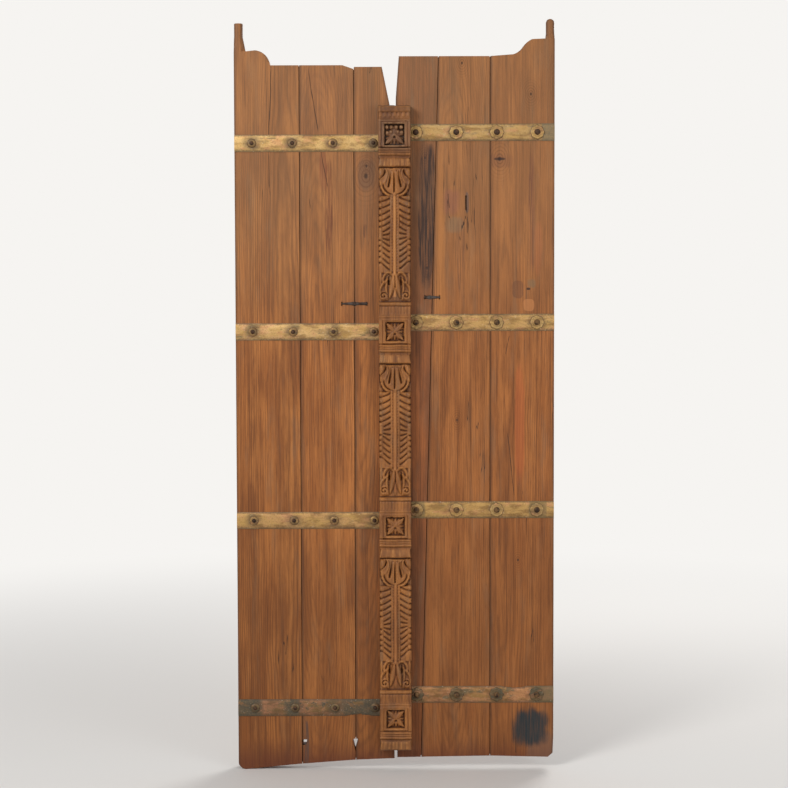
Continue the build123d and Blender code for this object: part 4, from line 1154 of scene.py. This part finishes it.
def post_shape(columns, rows):
    """The carved sheet of the whole post, for slab."""
    bottom, top = post_box[0].z / mm, post_box[1].z / mm
    level = np.linspace(bottom, top, rows + 1)
    centres = [top - head_rise - n * bay for n in range(blocks)]
    u, z = np.meshgrid(np.linspace(-half_post, half_post, columns + 1), level)
    sway, lift = (flat_waves(u, z, (40, 46), seed) for seed in (71, 72))
    heights = np.zeros_like(u)
    for number, centre in enumerate(centres):
        ceiling = np.inf if number == 0 else centre + half_block
        lowest = -np.inf if number == blocks - 1 else centre - bay + half_block
        here = (level <= ceiling) & (level > lowest)
        across, up = (u + sway)[here], (z + 1.1 * lift)[here] - centre
        heights[here] = bay_heights(across, up, number)
    heights = soften(heights, 2)
    wear = flat_waves(u, z, (16, 24), 73)
    chips = flat_waves(u, z, (6, 9), 74)
    proud = unit((heights - soften(heights, 14)) / 2.5)
    heights -= rubbed_off * proud * (0.5 + 0.5 * wear) + chipped_off * chips
    from_arris = half_post - np.abs(u)
    heights -= arris_wear * unit(1 - from_arris / arris_reach) ** 2 * (0.7 + 0.5 * wear)
    from_end = np.minimum(z - bottom, top - z)
    heights -= end_wear * unit(1 - from_end / end_reach) ** 2
    head = unit((z - (top - head_reach)) / head_reach)
    heights -= head * np.clip(4.5 * wear + 1.5 * chips, 0, 6)
    heights = np.clip(heights, 12, face)
    # The hollows and ridges of the carving, which the material paints with shade and highlight.
    hollow = unit((soften(heights, 14) - heights) / 2.9)
    ridge = unit((heights - soften(heights, 9)) / 2.4)
    drop = np.full(u.shape, -200.0)
    for centre in centres:
        here = (z - centre > -200) & (z - centre < 100)
        drop[here] = (z - centre)[here]
    narrow = np.interp(drop, (-96, -91, -66.5, -65), (0, 0, 4.0, 0))
    fascia = (drop > -89) & (drop < -68)
    ridge[fascia] = unit(1.5 * flat_waves(u, z, (4, 60), 77)[fascia] + 0.25)
    ragged = 0.9 * (0.5 + 0.5 * flat_waves(0 * u, z + 500, (1, 19), 75))
    x = u * (1 - (narrow + ragged) / half_post)
    z = z - head * np.clip(3.0 * flat_waves(u, z, (11, 400), 76), 0, 3)
    stem = unit(1.6 - np.abs(u) / 4) * ((drop < -199) | (drop < bowl_low))
    marks = {"hollow": hollow.ravel(), "ridge": ridge.ravel(), "stem": stem.ravel()}

    def shape(across, up):
        order = np.round(up * rows).astype(int) * (columns + 1) + np.round(across * columns).astype(int)
        found = {name: values[order] for name, values in marks.items()}
        depth = face_y - heights.ravel()[order] * mm
        return x.ravel()[order] * mm, depth, z.ravel()[order] * mm, found

    return shape


def carved_teak(name, light, dark, hollow_colour, ridge_colour):
    """Oiled carving: upright grain, soiling and painted shade in the hollows, high places worn pale with
    a painted highlight.
    """
    material, surface, place = shader(name)
    tone = mottle(place, (0.05, 0.05, 0.16), 4.0, 0.6)
    streaks = mottle(place, (0.0035, 0.01, 0.14), 4.0, 0.6)
    fibres = mottle(place, (0.001, 0.004, 0.03), 3.0, 0.6)
    grey = mottle(place, (0.03, 0.05, 0.09), 4.0, 0.6)
    dusty = mottle(place, (0.009, 0.02, 0.012), 4.0, 0.6)
    stem, z = mark(place, "stem"), axes_of(place)[2]
    # Darker over the top flower block, the band above it and near the foot; the top block also gets
    # darker hollows and paler ridges.
    top_block = span(calc("ABSOLUTE", z - 1.845), 0.06, 0.035)
    darker_top_and_foot = top_block * 0.6 + span(z, 1.885, 1.93) * 0.5 + span(z, 0.16, 0.08) * 0.35
    # High places worn pale, partly wear and partly a painted highlight.
    rubbed_and_highlit = mark(place, "ridge") * span(dusty, 0.25, 0.6)
    high = tint(top_block, ridge_colour, (178, 138, 100))
    # Dirt and painted shade in the hollows, darkest in the top block.
    grime_and_shade = span(dusty * 0.35 + (mark(place, "hollow") - 0.15), 0.1, 0.85)
    deepest = tint(top_block, hollow_colour, (40, 25, 16))
    colour = layered(tint(span(tone, 0.36, 0.66), dark, light), (
        (span(streaks, 0.5, 0.7) * 0.5, hollow_colour),
        (span(fibres, 0.55, 0.75) * 0.25, hollow_colour),
        (span(grey, 0.5, 0.7) * 0.4, (124, 98, 72)),
        (darker_top_and_foot, (80, 52, 34)),
        (stem * 0.4, (158, 94, 52)),
        (stem * span(z, 0.7, 1.5) * 0.55, (204, 140, 78)),
        (rubbed_and_highlit * 0.7, high),
        (grime_and_shade * 0.9, deepest),
    ))
    feed(surface, {
        "Base Color": colour,
        "Roughness": streaks * 0.3 + 0.42,
        "Normal": bump(fibres * 0.4 + (streaks * 0.6 + dusty), 0.5, 0.5 * mm),
        "Specular IOR Level": 0.35,
    })
    return material


post_teak = carved_teak("post_teak", (162, 103, 50), (114, 69, 34), (68, 34, 15), (186, 127, 68))
columns = round((post_box[1].x - post_box[0].x) / post_cell)
rows = round((post_box[1].z - post_box[0].z) / post_cell)
carving = slab("post_carving", columns, rows, post_shape(columns, rows), face_y - carved_from)
carving.data.materials.append(post_teak)
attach(carving, "left_leaf")
backing = bpy.data.objects.new("post_backing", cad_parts["carved_center_post"].data.copy())
backing.data.materials.clear()
backing.data.materials.append(post_teak)
rear = bmesh.new()
rear.from_mesh(backing.data)
bmesh.ops.remove_doubles(rear, verts=rear.verts, dist=same_point)
everything = [*rear.verts, *rear.edges, *rear.faces]
cut = bmesh.ops.bisect_plane(rear, geom=everything, plane_co=(0, face_y - carved_from, 0),
                             plane_no=(0, -1, 0), clear_outer=True)["geom_cut"]
rim = [part for part in cut if isinstance(part, bmesh.types.BMEdge)]
bmesh.ops.triangle_fill(rear, edges=rim, use_beauty=True)
bmesh.ops.recalc_face_normals(rear, faces=rear.faces)
rear.to_mesh(backing.data)
rear.free()
smooth(backing)
scene.collection.objects.link(backing)
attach(backing, "left_leaf")
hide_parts("carved_center_post")

heads = bmesh.new()
middle_x = centre_line(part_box("post_nails"))[0]
centres = [post_box[1].z - (head_rise + n * bay) * mm for n in range(blocks)]
between = [centre + bay / 2 * mm for centre in centres[1:]]
lowest, highest = post_box[0].z + foot_drop / 4 * mm, centres[0] + head_rise / 2 * mm
for level in lowest, *between, highest:
    turned(heads, middle_x, level, back_y, 1, left_head_profile, head_steps)
worn(heads, head_wear, nail_pits, 9)
bmesh.ops.recalc_face_normals(heads, faces=heads.faces)
piece = new_object("post_nail_heads", heads)
smooth(piece)
piece.data.materials.append(dark_iron)
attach(piece, "left_leaf")
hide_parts("post_nails")
